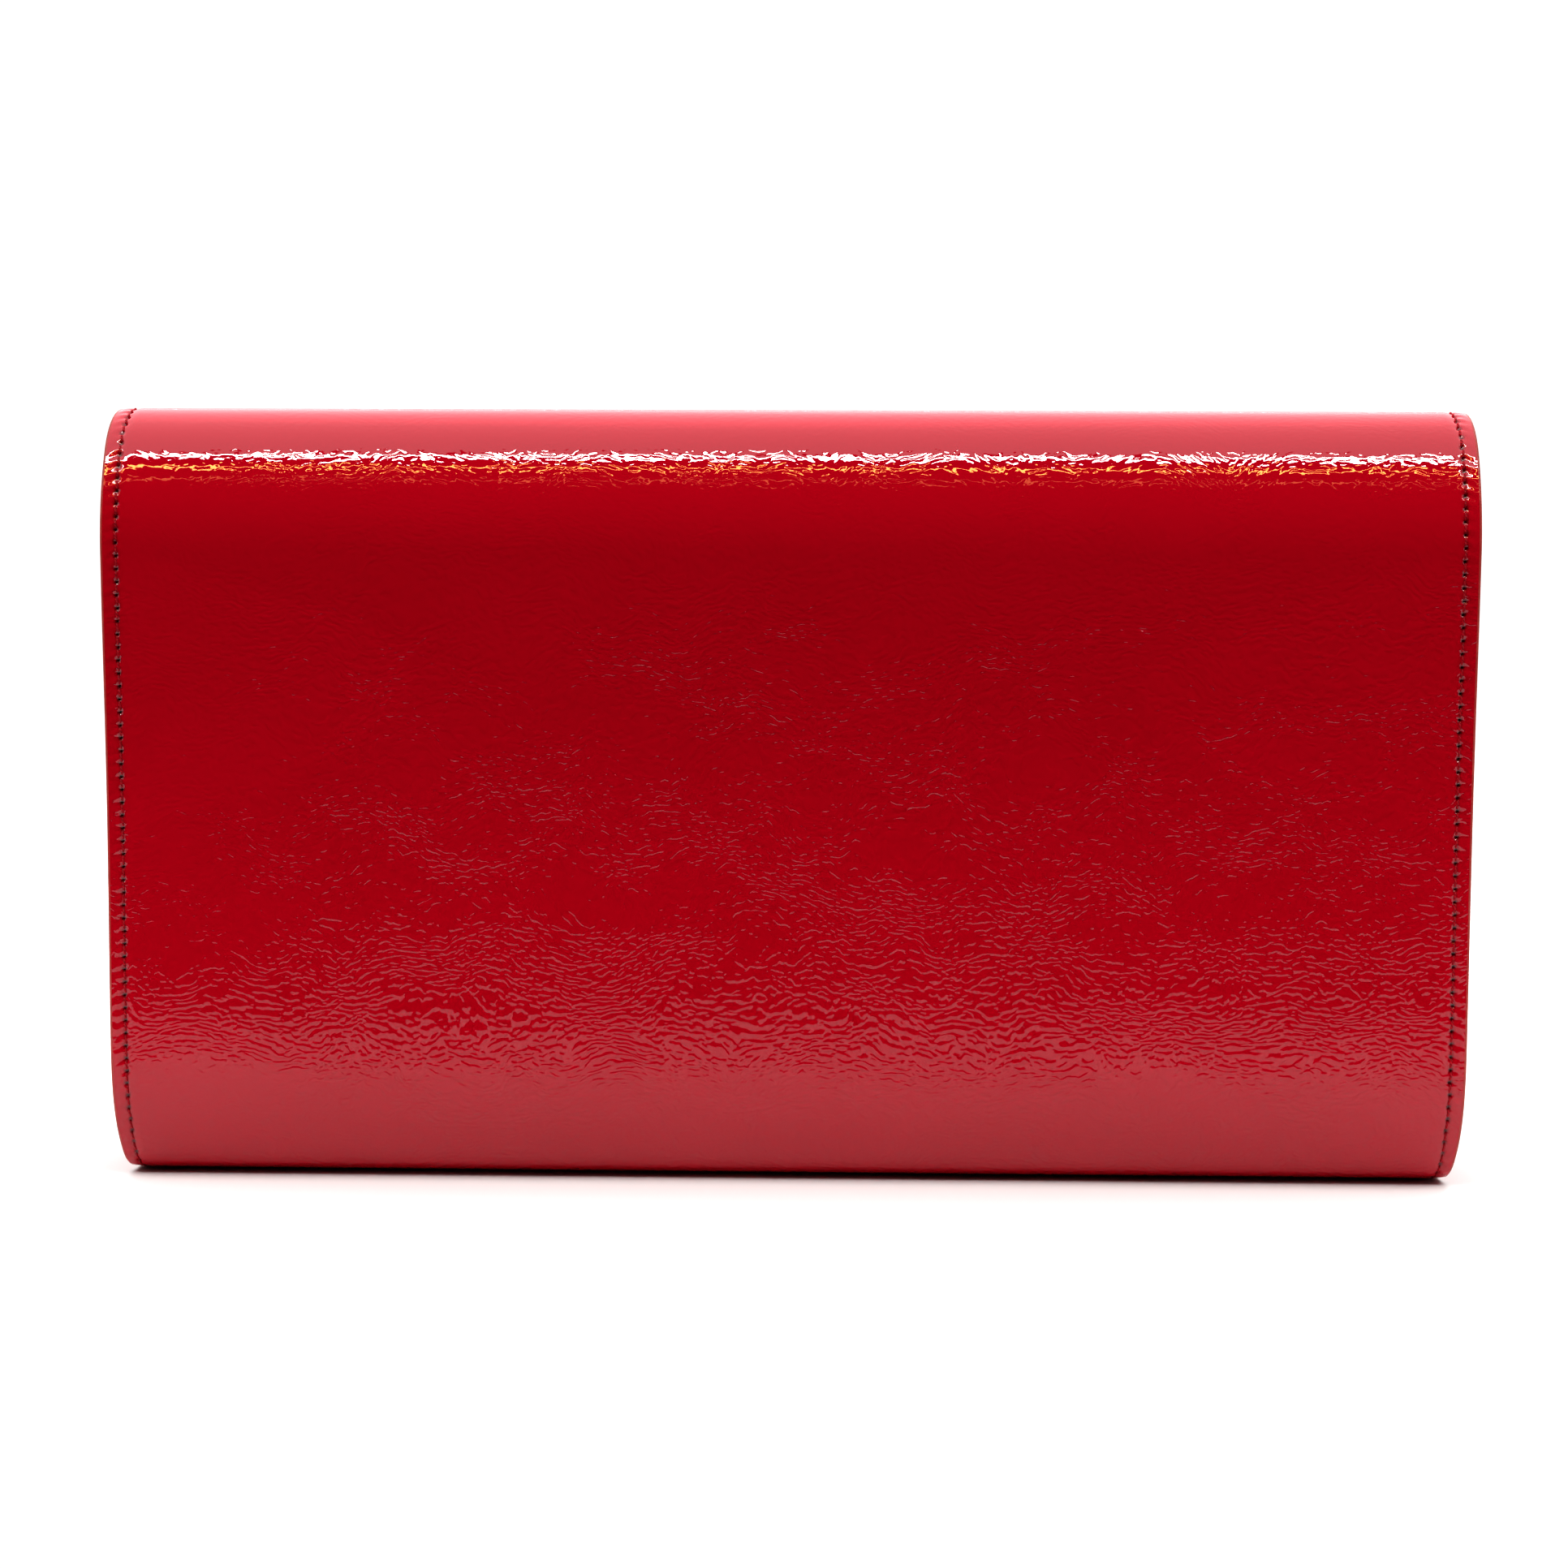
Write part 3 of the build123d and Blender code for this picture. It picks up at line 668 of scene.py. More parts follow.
def edge_paint():
    n = Nodes("edge_paint")
    place = n.sheet_place()
    tone = n.mix(n.noise(place, 400.0, detail=3.0), colour(0.34, 0.035, 0.028), colour(0.50, 0.09, 0.07))
    normal = n.bump(n.noise(place, 700.0), 0.05 * MM)
    n.set(Base_Color=tone, Roughness=n.remap(n.noise(place, 300.0), 0.3, 0.7, 0.32, 0.5), Normal=normal)
    return n.material


def suede():
    n = Nodes("hide_flesh_side")
    place = n.sheet_place()
    fibres = n.noise(place, 1600.0, detail=5.0, rough=0.7)
    n.set(Base_Color=n.mix(fibres, colour(0.20, 0.10, 0.06), colour(0.34, 0.20, 0.13)), Roughness=0.95)
    n.set(Normal=n.bump(fibres, 0.08 * MM))
    return n.material


def facing_leather():
    n = Nodes("facing_leather")
    place = n.sheet_place()
    inputs = {"Vector": place, "Scale": 1500.0, "Randomness": 0.9}
    grain = n.node("ShaderNodeTexVoronoi", inputs, feature="DISTANCE_TO_EDGE").outputs["Distance"]
    pebble = n.remap(grain, 0.0, 0.22, 0.0, 1.0)
    tone = n.mix(n.noise(place, 60.0, detail=4.0), colour(0.20, 0.004, 0.012), colour(0.29, 0.008, 0.018))
    tone = n.mix(n.remap(pebble, 0.0, 0.5, 0.35, 0.0), tone, colour(0.08, 0.002, 0.006))
    n.set(Base_Color=tone, Roughness=n.remap(n.noise(place, 90.0), 0.3, 0.7, 0.36, 0.52))
    n.set(Normal=n.bump(pebble, 0.05 * MM), IOR=1.47)
    return n.material


def lining_twill():
    n = Nodes("lining_twill")
    place = n.sheet_place()
    ribs = n.wave(place, 520.0, "DIAGONAL", 0.4, Detail=1.0, Detail_Scale=3.0)
    threads = n.wave(place, 900.0, "X", 0.6, Detail=1.0, Detail_Scale=2.0)
    weave = n.math("ADD", n.math("MULTIPLY", ribs, 0.75), n.math("MULTIPLY", threads, 0.25))
    tone = n.mix(weave, colour(0.008, 0.007, 0.008), colour(0.040, 0.036, 0.038))
    tone = n.mix(n.remap(n.noise(place, 25.0, detail=3.0), 0.3, 0.7, 0.0, 0.25), tone,
                 colour(0.055, 0.050, 0.052))
    n.set(Base_Color=tone, Roughness=0.8, Sheen_Weight=0.25, Normal=n.bump(weave, 0.10 * MM))
    return n.material


def sewing_thread():
    n = Nodes("sewing_thread")
    place = n.sheet_place()
    twist = n.wave(place, 700.0, "DIAGONAL", 0.3)
    tone = n.mix(twist, colour(0.30, 0.002, 0.012), colour(0.50, 0.008, 0.026))
    n.set(Specular_IOR_Level=0.25)
    n.set(Base_Color=tone, Roughness=0.55, Normal=n.bump(twist, 0.06 * MM))
    return n.material


def stiffener_board():
    n = Nodes("stiffener_board")
    place = n.sheet_place()
    fibres = n.noise(place, 500.0, detail=6.0, rough=0.75)
    tone = n.mix(fibres, colour(0.22, 0.18, 0.13), colour(0.42, 0.36, 0.28))
    n.set(Base_Color=tone, Roughness=0.9, Normal=n.bump(fibres, 0.06 * MM))
    return n.material


def plated_brass():
    n = Nodes("snap_plating")
    place = n.object_place()
    scratches = n.noise(n.vector("MULTIPLY", place, (1.0, 1.0, 14.0)), 900.0, detail=4.0)
    tone = n.mix(n.noise(place, 220.0, detail=3.0), colour(0.74, 0.50, 0.20), colour(0.86, 0.64, 0.32))
    n.set(Base_Color=tone, Metallic=1.0, Roughness=n.remap(scratches, 0.3, 0.7, 0.10, 0.26))
    n.set(Normal=n.bump(scratches, 0.004 * MM))
    return n.material


def zinc_steel():
    n = Nodes("snap_steel")
    place = n.object_place()
    spangle = n.node("ShaderNodeTexVoronoi", {"Vector": place, "Scale": 700.0}).outputs["Distance"]
    tone = n.mix(spangle, colour(0.42, 0.43, 0.45), colour(0.62, 0.63, 0.65))
    n.set(Base_Color=tone, Metallic=1.0, Roughness=n.remap(spangle, 0.0, 0.6, 0.28, 0.44))
    n.set(Normal=n.bump(spangle, 0.01 * MM))
    return n.material


def ceramic_magnet():
    n = Nodes("magnet_ceramic")
    place = n.object_place()
    grains = n.noise(place, 1400.0, detail=5.0)
    tone = n.mix(grains, colour(0.012, 0.012, 0.013), colour(0.050, 0.050, 0.052))
    n.set(Base_Color=tone, Roughness=0.7, Normal=n.bump(grains, 0.03 * MM))
    return n.material


PATENT, PAINT, FLESH = patent_leather(), edge_paint(), suede()
FACING, TWILL, THREAD, BOARD_STOCK = facing_leather(), lining_twill(), sewing_thread(), stiffener_board()
BRASS, STEEL, MAGNET = plated_brass(), zinc_steel(), ceramic_magnet()

# ---- creases as data, pieces baked in place and their CAD parts hidden

REAR_BEND = ("body", "spine", "flap_rear_crease", REAR_CREASE, 13.0 * MM)
FRONT_BEND = ("spine", "flap", "flap_front_crease", FRONT_CREASE, 13.0 * MM)
BASE_BEND = ("front_wall", "body", "mouth_spread", BASE_CREASE, 5.0 * MM)


def bend(piece, crease):
    """Bakes the piece's placement into its mesh."""
    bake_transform(piece)
    return piece


def dress(piece, slot, *nodes):
    if nodes:
        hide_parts(*nodes)
    return piece


# ---- the hide

HIDE = [PATENT, FLESH, PAINT]
FINE = {"step": 0.5 * MM, "margin": (8.0 * MM, 0.35 * MM), "coarse": 6.0 * MM}


def plain_seam(x, s):
    return seam_relief(x, s, has_hem=False)


def hem_seam(x, s):
    return seam_relief(x, s, has_hem=True)


def make_hide():
    back = Sheet("hide_back", BASE_JOIN, APEX, 0.0, LEATHER, HALF_WIDTH, HIDE, relief=plain_seam, **FINE)
    flap = Sheet("hide_flap", APEX, PATH_END, 0.0, LEATHER, HALF_WIDTH, HIDE, relief=hem_seam,
                 hem=True, joins=(True, False), **FINE)
    front = Sheet("hide_front", 0.0, BASE_JOIN, 0.0, LEATHER, HALF_WIDTH, HIDE, relief=plain_seam,
                  joins=(False, True), **FINE)
    for sheet, crease, nodes in (
        (back, REAR_BEND, ("back_leather", "spine_leather")),
        (flap, FRONT_BEND, ("flap_leather", "spine_leather")),
        (front, BASE_BEND, ("front_leather",)),
    ):
        piece = dress(bend(sheet.build(), crease), "patent_leather", *nodes)


# ---- boards, linings and facings


def make_boards():
    width, deep = BOARD_HALF_WIDTH, LEATHER
    wide = FLAP_BOARD_HALF_WIDTH
    margin = HALF_WIDTH - wide
    plans = [
        ("board_back", BASE_JOIN, APEX, width, (True, True), REAR_BEND,
         ("back_board", "bottom_board", "spine_board")),
        ("board_flap", APEX, PATH_END - margin, wide, (True, False), FRONT_BEND,
         ("flap_board", "spine_board")),
        ("board_front", 2.0 * MM, BASE_JOIN, width, (False, True), BASE_BEND, ("front_board",)),
    ]
    for name, start, end, half_width, joins, crease, nodes in plans:
        sheet = Sheet(name, start, end, deep, BOARD, half_width, [BOARD_STOCK], joins=joins)
        dress(bend(sheet.build(), crease), "stiffener_board", *nodes)


GLUE_DROP = BOARD - 0.02 * MM
GLUE_START = 2.4 * MM
GLUE_END = 5.4 * MM


def glued_down(x, s):
    """The facing comes down off the board's edge, onto the hide, along the purse's sides and hem."""
    distance, _ = edge_place(x, s, has_hem=True)
    return -GLUE_DROP * (1 - smoothstep(GLUE_START, GLUE_END, distance))


def glued_above_mouth(x, s):
    """As glued_down, but only above the gussets, because their flanges lie under the edge below."""
    distance = HALF_WIDTH - np.abs(x)
    above = smoothstep(back_station(GUSSET_TOP), back_station(GUSSET_TOP) + 3 * MM, s)
    return -GLUE_DROP * (1 - smoothstep(GLUE_START, GLUE_END, distance)) * above


def make_facings():
    deep, width = LEATHER + BOARD, HALF_WIDTH - EDGE_INSET
    faces = [FACING, FACING, PAINT]
    options = {"step": 1.2 * MM, "margin": (8.0 * MM, 1.0 * MM)}
    split = back_station(GUSSET_TOP) + 1.0 * MM
    flap = Sheet("facing_flap", APEX, PATH_END - EDGE_INSET, deep, LINING, width, faces, hem=True,
                 joins=(True, False), lift=glued_down, **options)
    over = Sheet("facing_over_mouth", split, APEX, deep, LINING, width, faces, joins=(True, True),
                 lift=glued_above_mouth, **options)
    rear = Sheet("facing_rear", back_station(FACING_BOTTOM), split, deep, LINING, BOARD_HALF_WIDTH,
                 faces, joins=(False, True), **options)
    front = Sheet("facing_front", 0.0, FRONT_WALL_TOP - FACING_BOTTOM, deep, LINING, BOARD_HALF_WIDTH,
                  faces, joins=(False, False), **options)
    for sheet, crease, nodes in (
        (flap, FRONT_BEND, ("flap_facing", "spine_facing")),
        (over, REAR_BEND, ("rear_facing", "spine_facing")),
        (rear, REAR_BEND, ("rear_facing",)),
        (front, BASE_BEND, ("front_facing",)),
    ):
        piece = dress(bend(sheet.build(), crease), "facing_leather", *nodes)


def make_linings():
    deep = LEATHER + BOARD
    back = Sheet("lining_back", BASE_JOIN, back_station(FACING_BOTTOM), deep, LINING, BOARD_HALF_WIDTH,
                 [TWILL], joins=(True, False))
    front = Sheet("lining_front", FRONT_WALL_TOP - FACING_BOTTOM, BASE_JOIN, deep, LINING,
                  BOARD_HALF_WIDTH, [TWILL], joins=(False, True))
    dress(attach(back.build(), "body"), "lining_fabric", "back_lining")
    dress(bend(front.build(), BASE_BEND), "lining_fabric", "front_lining")


# ---- gussets

FLANGE_THICKNESS = 1.0 * MM
PLEAT_LOW = 0.5 * MM
PLEAT_HIGH = 12.0 * MM
FOLD_SOFTNESS = 0.012
SWAY = 0.35 * MM
WEB_X = FLANGE_INNER_X + 1.0 * MM


def inner_edges(inset, heights):
    """The walls' inner faces (y of the back, y of the front) at some heights, for an inset."""
    back_s = np.linspace(BASE_END, BACK_WALL_END, 400)
    front_s = np.linspace(0.0, BASE_START, 400)
    ends = []
    for s in (back_s, front_s):
        y, z, heading = path(s)
        y, z = y + inset * np.sin(heading), z - inset * np.cos(heading)
        order = np.argsort(z)
        ends.append(np.interp(heights, z[order], y[order]))
    return ends


def pleat_grid(inset, shift, side):
    """A softly folded pleat between the walls: narrow rounded fold, slack that grows to the mouth."""
    heights = np.linspace(inset + 0.3 * MM, GUSSET_TOP, 90)
    back, front = inner_edges(inset, heights)
    t = np.sin(np.linspace(-math.pi / 2, math.pi / 2, 41))
    y = (back[:, None] + front[:, None]) / 2 + (front - back)[:, None] / 2 * t
    z = np.repeat(heights[:, None], len(t), axis=1)
    rise = heights / GUSSET_TOP
    slack = PLEAT_LOW + (PLEAT_HIGH - PLEAT_LOW) * rise
    tip = math.sqrt(FOLD_SOFTNESS)
    fold = 1 - (np.sqrt(t * t + FOLD_SOFTNESS) - tip) / (math.sqrt(1 + FOLD_SOFTNESS) - tip)
    sway = SWAY * np.sin(z / (9 * MM) + 2.0 * t) * np.sin(z / (23 * MM) + 1.1) * (1 - t * t)
    x = WEB_X - shift - slack[:, None] * fold + sway
    return side * x, y, z


def close_grid(name, outer, inner, materials, side):
    """A closed sheet between two grids of the same size."""
    rows, columns = outer[0].shape
    vertices = np.concatenate([np.stack(g, -1).reshape(-1, 3) for g in (outer, inner)])
    count = rows * columns
    index, faces, inner_faces = grid_faces(rows, columns)
    faces += inner_faces
    ring = np.concatenate([index[0, :-1], index[:-1, -1], index[-1, :0:-1], index[:0:-1, 0]])
    for i, j in zip(ring, np.roll(ring, -1)):
        faces.append([int(j), int(i), int(i) + count, int(j) + count])
    if side < 0:
        faces = [face[::-1] for face in faces]
    made = new_object(name, vertices, faces, materials)
    lay_out(made, np.stack([vertices[:, 1] + HALF_DEPTH, vertices[:, 2]], -1))
    made.data.attributes.new("hole", "FLOAT", "POINT")
    return made


def spread_with_mouth(piece):
    """Bakes a gusset piece's placement into its mesh."""
    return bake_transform(piece)


def flange_piece(name, side):
    """The gusset's flange, as a strip along the path inside the walls' leather."""
    start, end = FRONT_WALL_TOP - GUSSET_TOP, back_station(GUSSET_TOP)
    s = np.linspace(start, end, 300)
    x = np.linspace(FLANGE_INNER_X, HALF_WIDTH - EDGE_INSET, 8)
    grid_x, grid_s = np.meshgrid(side * x, s)
    layers = []
    for depth in (LEATHER + 0.02 * MM, LEATHER + FLANGE_THICKNESS):
        p = point(grid_x, grid_s, depth + 0 * grid_x)
        layers.append((p[..., 0], p[..., 1], p[..., 2]))
    return close_grid(name, layers[0], layers[1], [PATENT], -side)


def make_gussets():
    for name, side in (("left", -1), ("right", 1)):
        inset = LEATHER + 0.3 * MM
        outer = pleat_grid(inset, 0.0, side)
        inner = pleat_grid(inset, FLANGE_THICKNESS, side)
        web = close_grid(f"gusset_web_{name}", outer, inner, [PATENT], side)
        flange = flange_piece(f"gusset_flange_{name}", side)
        for piece in (web, flange):
            dress(spread_with_mouth(piece), "patent_leather", f"gusset_{name}")
        outer = pleat_grid(WALL + 0.2 * MM, FLANGE_THICKNESS + 0.05 * MM, side)
        inner = pleat_grid(WALL + 0.2 * MM, FLANGE_THICKNESS + LINING, side)
        lining = close_grid(f"gusset_lining_soft_{name}", outer, inner, [TWILL], side)
        dress(spread_with_mouth(lining), "lining_fabric", f"gusset_lining_{name}")


# ---- stitches

THREAD_RADIUS = 0.27 * MM
THREAD_RINGS = 7
THREAD_SIDES = 8


class Stitches:
    """Many short threads in one mesh, each between two needle holes."""

    def __init__(self, name):
        self.name = name
        self.vertices, self.faces, self.uv = [], [], []

    def add(self, x, s, direction, depth, dip, length=2.35 * MM, slant=0.10):
        """One thread. A positive dip sinks its ends into the outer side, a negative one into the inner."""
        along = np.array(direction) / np.hypot(*direction)
        across = np.array([along[1], -along[0]])
        along = along * math.cos(slant) + across * math.sin(slant)
        across = np.array([along[1], -along[0]])
        first = len(self.vertices) * THREAD_RINGS * THREAD_SIDES
        t = np.linspace(-1, 1, THREAD_RINGS)[:, None]
        angle = np.linspace(0, 2 * math.pi, THREAD_SIDES, endpoint=False)[None, :]
        radius = THREAD_RADIUS * np.sqrt(np.clip(1.04 - t ** 4, 0.04, 1))
        run = t * length / 2 + 0 * angle
        off = radius * np.cos(angle)
        deep = depth + dip * t ** 4 + radius * np.sin(angle)
        place_x = x + run * along[0] + off * across[0]
        place_s = s + run * along[1] + off * across[1]
        self.vertices.append(point(place_x, place_s, deep).reshape(-1, 3))
        around = np.repeat(angle / (2 * math.pi) * 1.7 * MM, THREAD_RINGS, axis=0)
        self.uv.append(np.stack([around, s + run], -1).reshape(-1, 2))
        for i in range(THREAD_RINGS - 1):
            for j in range(THREAD_SIDES):
                k = (j + 1) % THREAD_SIDES
                a, b = first + i * THREAD_SIDES, first + (i + 1) * THREAD_SIDES
                self.faces.append([a + j, a + k, b + k, b + j])
        self.faces.append([first + j for j in reversed(range(THREAD_SIDES))])
        last = first + (THREAD_RINGS - 1) * THREAD_SIDES
        self.faces.append([last + j for j in range(THREAD_SIDES)])

    def build(self):
        made = new_object(self.name, np.concatenate(self.vertices), self.faces, [THREAD])
        lay_out(made, np.concatenate(self.uv))
        return made


def seam_threads(name, start, end, has_hem, inner_depth):
    """Both sides' threads between two distances run along the seam, outside and inside."""
    stitches = Stitches(name)
    first, last = math.ceil(start / STITCH_PITCH), math.floor(end / STITCH_PITCH)
    for side in (-1, 1):
        for number in range(first, last):
            x, s, direction = seam_place((number + 0.5) * STITCH_PITCH, side, has_hem)
            if has_hem and side * x < 0:
                continue
            shift = 0.05 * MM * float(uneven(number, 4.0 + side))
            tilt = side * 0.10 + 0.05 * float(uneven(number, 5.0))
            stitches.add(x + shift, s, direction, GROOVE_DEPTH + SHOULDER - 0.05 * MM, 0.32 * MM,
                         slant=tilt)
            stitches.add(x, s, direction, inner_depth(s), -0.30 * MM, slant=-tilt)
    return stitches.build()


def make_stitches():
    flange_face = LEATHER + FLANGE_THICKNESS + 0.06 * MM
    facing_face = LEATHER + LINING + 0.10 * MM
    mouth = back_station(GUSSET_TOP)
    hem_run = CORNER_STATION + CORNER_SEAM + CORNER_X
    plans = [
        ("stitches_back", BASE_JOIN, APEX, False, REAR_BEND,
         lambda s: flange_face if s < mouth + 2 * MM else facing_face),
        ("stitches_flap", APEX, hem_run, True, FRONT_BEND, lambda s: facing_face),
        ("stitches_front", 2 * MM, BASE_JOIN, False, BASE_BEND, lambda s: flange_face),
    ]
    for name, start, end, has_hem, crease, inner_depth in plans:
        piece = seam_threads(name, start, end, has_hem, inner_depth)
        dress(bend(piece, crease), "patent_leather")


def row_threads(name, spots, body, pitch=2.6 * MM):
    """Straight rows of threads on the inside, each from (x0, s0) to (x1, s1) at a depth."""
    stitches = Stitches(name)
    for x0, s0, x1, s1, depth in spots:
        length = math.hypot(x1 - x0, s1 - s0)
        count = int(length / pitch)
        for k in range(count):
            share = (k + 0.5) / count
            stitches.add(x0 + (x1 - x0) * share, s0 + (s1 - s0) * share, (x1 - x0, s1 - s0), depth,
                         -0.26 * MM, length=0.78 * pitch)
    return dress(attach(stitches.build(), body), "lining_fabric")


# ---- slip pocket and patch

POCKET_LOW, POCKET_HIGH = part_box("slip_pocket_panel")
POCKET_HALF_WIDTH = POCKET_HIGH.x
POCKET_HEM = 6.0 * MM
HEM_THICKNESS = 0.8 * MM
PANEL_TOP = WALL + HEM_THICKNESS
PANEL_THICKNESS = 0.7 * MM
BINDING_THICKNESS = 0.6 * MM
BINDING_HEIGHT = 9.0 * MM
PATCH_THICKNESS = 0.7 * MM
PATCH_SEAM = 1.4 * MM


def pocket_slack(x, s):
    """The pocket's mouth stands a little off the wall in the middle."""
    rise = smoothstep(back_station(POCKET_LOW.z), back_station(POCKET_HIGH.z), s)
    return 0.5 * MM * rise * np.cos(np.clip(x / POCKET_HALF_WIDTH, -1, 1) * math.pi / 2) ** 2


def make_pocket():
    low, high = back_station(POCKET_LOW.z), back_station(POCKET_HIGH.z)
    width = POCKET_HALF_WIDTH
    panel = Sheet("pocket_panel", low, high, PANEL_TOP, PANEL_THICKNESS, width, [TWILL],
                  joins=(False, False), lift=pocket_slack)
    binding = Sheet("pocket_binding", high - BINDING_HEIGHT, high + BINDING_THICKNESS,
                    PANEL_TOP + PANEL_THICKNESS, BINDING_THICKNESS, width, [FACING, FACING, PAINT],
                    joins=(False, False), lift=pocket_slack)
    hem = Sheet("pocket_hem", low, low + POCKET_HEM, WALL, HEM_THICKNESS, width, [TWILL],
                joins=(False, False))
    dress(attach(hem.build(), "body"), "lining_fabric", "slip_pocket_hem")
    panel_piece = dress(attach(panel.build(), "body"), "lining_fabric", "slip_pocket_panel")
    binding_piece = dress(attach(binding.build(), "body"), "facing_leather", "slip_pocket_binding")
    face = PANEL_TOP + PANEL_THICKNESS
    inset = 2.0 * MM
    row_threads("stitches_pocket", [
        (-width + inset, low + inset, width - inset, low + inset, face),
        (-width + inset, low + inset, -width + inset, high - BINDING_HEIGHT, face),
        (width - inset, low + inset, width - inset, high - BINDING_HEIGHT, face),
    ], "body")


def make_patch():
    low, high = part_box("interior_patch")
    patch = Sheet("blank_patch", back_station(low.z), back_station(high.z), WALL, PATCH_THICKNESS,
                  high.x, [FACING, FACING, PAINT], joins=(False, False), step=1.0 * MM, coarse=4.0 * MM)
    piece = dress(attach(patch.build(), "body"), "facing_leather", "interior_patch")
    start, end = back_station(low.z) + PATCH_SEAM, back_station(high.z) - PATCH_SEAM
    width = high.x - PATCH_SEAM
    face = WALL + PATCH_THICKNESS
    row_threads("stitches_patch", [
        (-width, start, width, start, face),
        (-width, end, width, end, face),
        (-width, start, -width, end, face),
        (width, start, width, end, face),
    ], "body", pitch=2.2 * MM)


# ---- snap, kept from the CAD model


def finish_metal():
    by_slot = {"snap_plating": BRASS, "snap_steel": STEEL, "magnet": MAGNET}
    for entry in frame["record"]["subparts"]:
        material = by_slot.get(entry["material_slot"])
        if material is None:
            continue
        node = frame["nodes"][entry["node"]]
        for slot in node.material_slots:
            slot.material = material
        if not node.material_slots:
            node.data.materials.append(material)


# ---- camera, floor and light

CAMERA_PLACE = (0.01398, -0.640, 0.15667)
CAMERA_YAW = -1.333
CAMERA_PITCH = 5.783
CAMERA_ROLL = 0.227
CAMERA_LENS = 62.125
FLOOR_FRONT = -0.250
FLOOR_BACK = 1.8
FLOOR_HALF_WIDTH = 1.1
LAMP_HEIGHT = 1.17
LAMP_FRONT_ELEVATION = 54.4
LAMP_BACK = 2.6
LAMP_WIDTH = 2.8
OVERHEAD_RADIANCE = 1.35
ZENITH_Y = -0.20
ZENITH_RADIANCE = 5.2
SOFT_RADIANCE = 0.9
STRIP_DISTANCE = 1.25
STRIP_LENGTH = 2.6
TOP_TURN_Z = 0.168
WORLD_SEEN = 0.77
WORLD_LIGHT = 0.006


def make_camera():
    data = bpy.data.cameras.new("camera")
    data.lens, data.sensor_width = CAMERA_LENS, 36.0
    data.clip_start, data.clip_end = 0.05, 20.0
    camera = bpy.data.objects.new("camera", data)
    bpy.context.scene.collection.objects.link(camera)
    yaw, pitch, roll = map(math.radians, (CAMERA_YAW, CAMERA_PITCH, CAMERA_ROLL))
    ahead = np.array([math.sin(yaw) * math.cos(pitch), math.cos(yaw) * math.cos(pitch), -math.sin(pitch)])
    right = np.array([math.cos(yaw), -math.sin(yaw), 0.0])
    up = np.cross(right, ahead)
    rolled_right = right * math.cos(roll) + up * math.sin(roll)
    rolled_up = up * math.cos(roll) - right * math.sin(roll)
    axes = np.column_stack([rolled_right, rolled_up, -ahead])
    camera.matrix_world = Matrix.Translation(CAMERA_PLACE) @ Matrix(axes.tolist()).to_4x4()
    bpy.context.scene.camera = camera


def area_light(name, place, towards, size, radiance, tint=(1.0, 1.0, 1.0), **visible):
    """A rectangular lamp of a given radiance, facing a point."""
    data = bpy.data.lights.new(name, "AREA")
    data.shape, data.size, data.size_y = "RECTANGLE", size[0], size[1]
    data.energy = radiance * math.pi * size[0] * size[1]
    data.color = tint
    lamp = bpy.data.objects.new(name, data)
    bpy.context.scene.collection.objects.link(lamp)
    line = np.array(place) - np.array(towards)
    away = line / np.linalg.norm(line)
    across = np.array([1.0, 0.0, 0.0])
    upward = np.cross(away, across)
    axes = np.column_stack([across, upward / np.linalg.norm(upward), away])
    lamp.matrix_world = Matrix.Translation(place) @ Matrix(axes.tolist()).to_4x4()
    lamp.visible_camera = False
    for kind, value in visible.items():
        setattr(lamp, f"visible_{kind}", value)
    return lamp


def strip_light(name, elevation, height, radiance, tint):
    """A narrow lamp in front of the purse, seen only as a line in the gloss of its rounded top.

    Its elevation and height are the degrees at which that part of the top sees it.
    """
    angle = math.radians(elevation)
    place = (0.0, -STRIP_DISTANCE * math.cos(angle), TOP_TURN_Z + STRIP_DISTANCE * math.sin(angle))
    size = (STRIP_LENGTH, STRIP_DISTANCE * math.radians(height))
    area_light(name, place, (0.0, 0.0, TOP_TURN_Z), size, radiance, tint, diffuse=False)


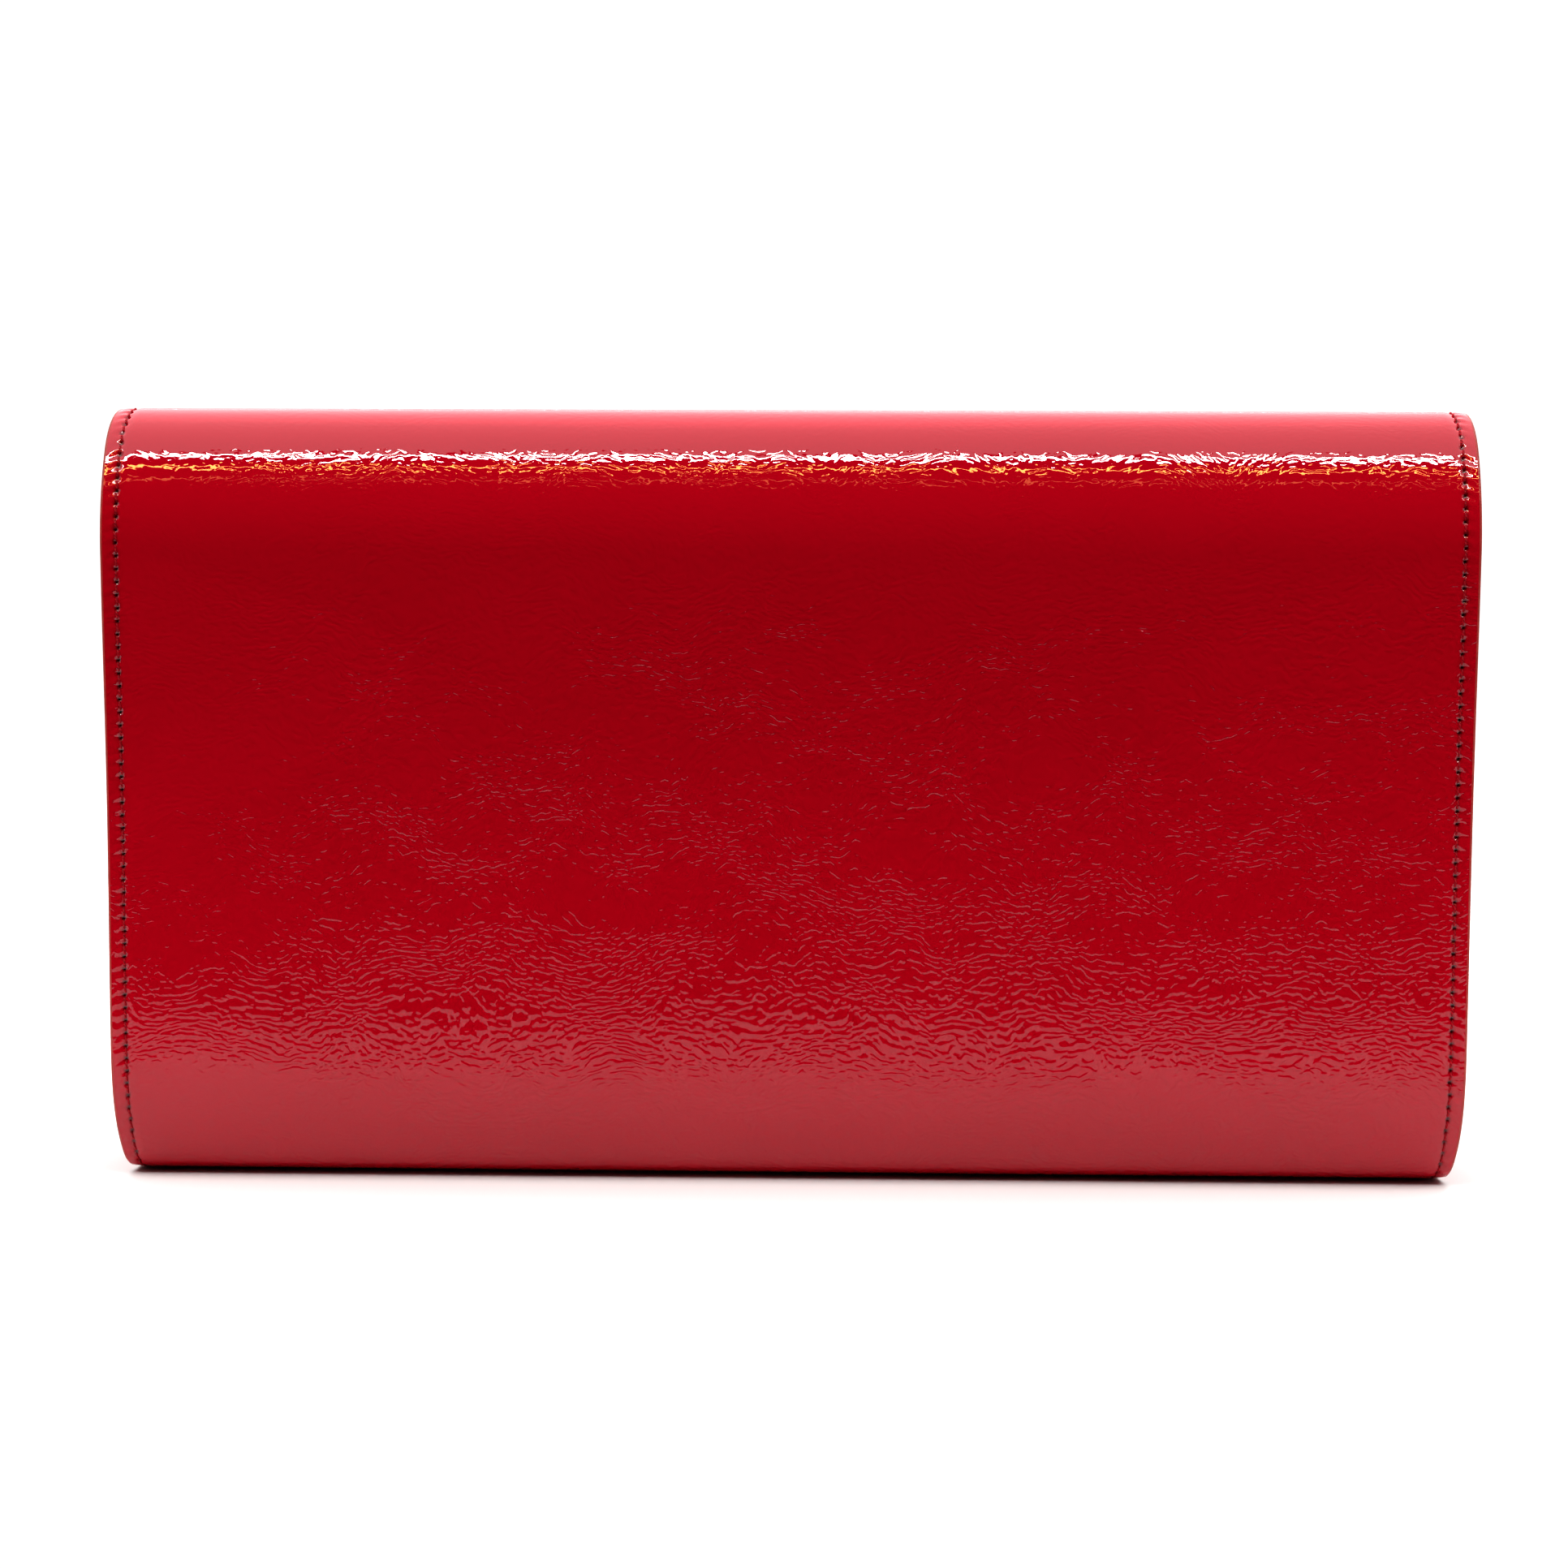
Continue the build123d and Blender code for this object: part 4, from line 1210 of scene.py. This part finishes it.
def make_lights():
    front = -(LAMP_HEIGHT - TOP_TURN_Z) / math.tan(math.radians(LAMP_FRONT_ELEVATION))
    middle = (front + LAMP_BACK) / 2
    size = (LAMP_WIDTH, LAMP_BACK - front)
    area_light("overhead", (0.0, middle, LAMP_HEIGHT), (0.0, middle, 0.0), size, OVERHEAD_RADIANCE)
    place, size = (0.0, ZENITH_Y, LAMP_HEIGHT), (LAMP_WIDTH, 0.7)
    area_light("zenith", place, (0.0, ZENITH_Y, 0.0), size, ZENITH_RADIANCE, glossy=False)
    area_light("backdrop", (0.0, LAMP_BACK, 0.6), (0.0, 0.0, 0.6), (3.6, 1.2), SOFT_RADIANCE)
    for side in (-1, 1):
        area_light("side", (side * 1.3, -0.15, 0.40), (0.0, 0.0, 0.09), (1.0, 0.7), SOFT_RADIANCE)
    strip_light("white_strip", 52.1, 2.5, 22.0, (1.0, 0.98, 0.97))
    strip_light("warm_strip", 45.2, 1.0, 16.0, (1.0, 0.58, 0.17))
    strip_light("dim_strip", 38.2, 0.8, 3.0, (1.0, 0.50, 0.20))


def make_world():
    """A background that the camera sees nearly white, and that hardly lights the purse."""
    world = bpy.data.worlds.new("studio")
    bpy.context.scene.world = world
    world.use_nodes = True
    tree = world.node_tree
    background = tree.nodes["Background"]
    path_node = tree.nodes.new("ShaderNodeLightPath")
    level = tree.nodes.new("ShaderNodeMapRange")
    level.inputs[3].default_value, level.inputs[4].default_value = WORLD_LIGHT, WORLD_SEEN
    tree.links.new(path_node.outputs["Is Camera Ray"], level.inputs[0])
    tree.links.new(level.outputs[0], background.inputs["Strength"])
    background.inputs["Color"].default_value = (1.0, 1.0, 1.0, 1.0)


def make_floor():
    n = Nodes("pale_floor")
    n.set(Base_Color=colour(0.72, 0.71, 0.70), Roughness=0.5)
    half = FLOOR_HALF_WIDTH
    corners = [(-half, FLOOR_FRONT, 0.0), (half, FLOOR_FRONT, 0.0), (half, FLOOR_BACK, 0.0),
               (-half, FLOOR_BACK, 0.0)]
    new_object("floor", corners, [[0, 1, 2, 3]], [n.material])


# ---- the whole scene

make_camera()
make_hide()
make_boards()
make_facings()
make_linings()
make_gussets()
make_stitches()
make_pocket()
make_patch()
finish_metal()
make_floor()
make_lights()
make_world()
bpy.context.scene.view_settings.view_transform = "Standard"
bpy.context.scene.view_settings.look = "High Contrast"
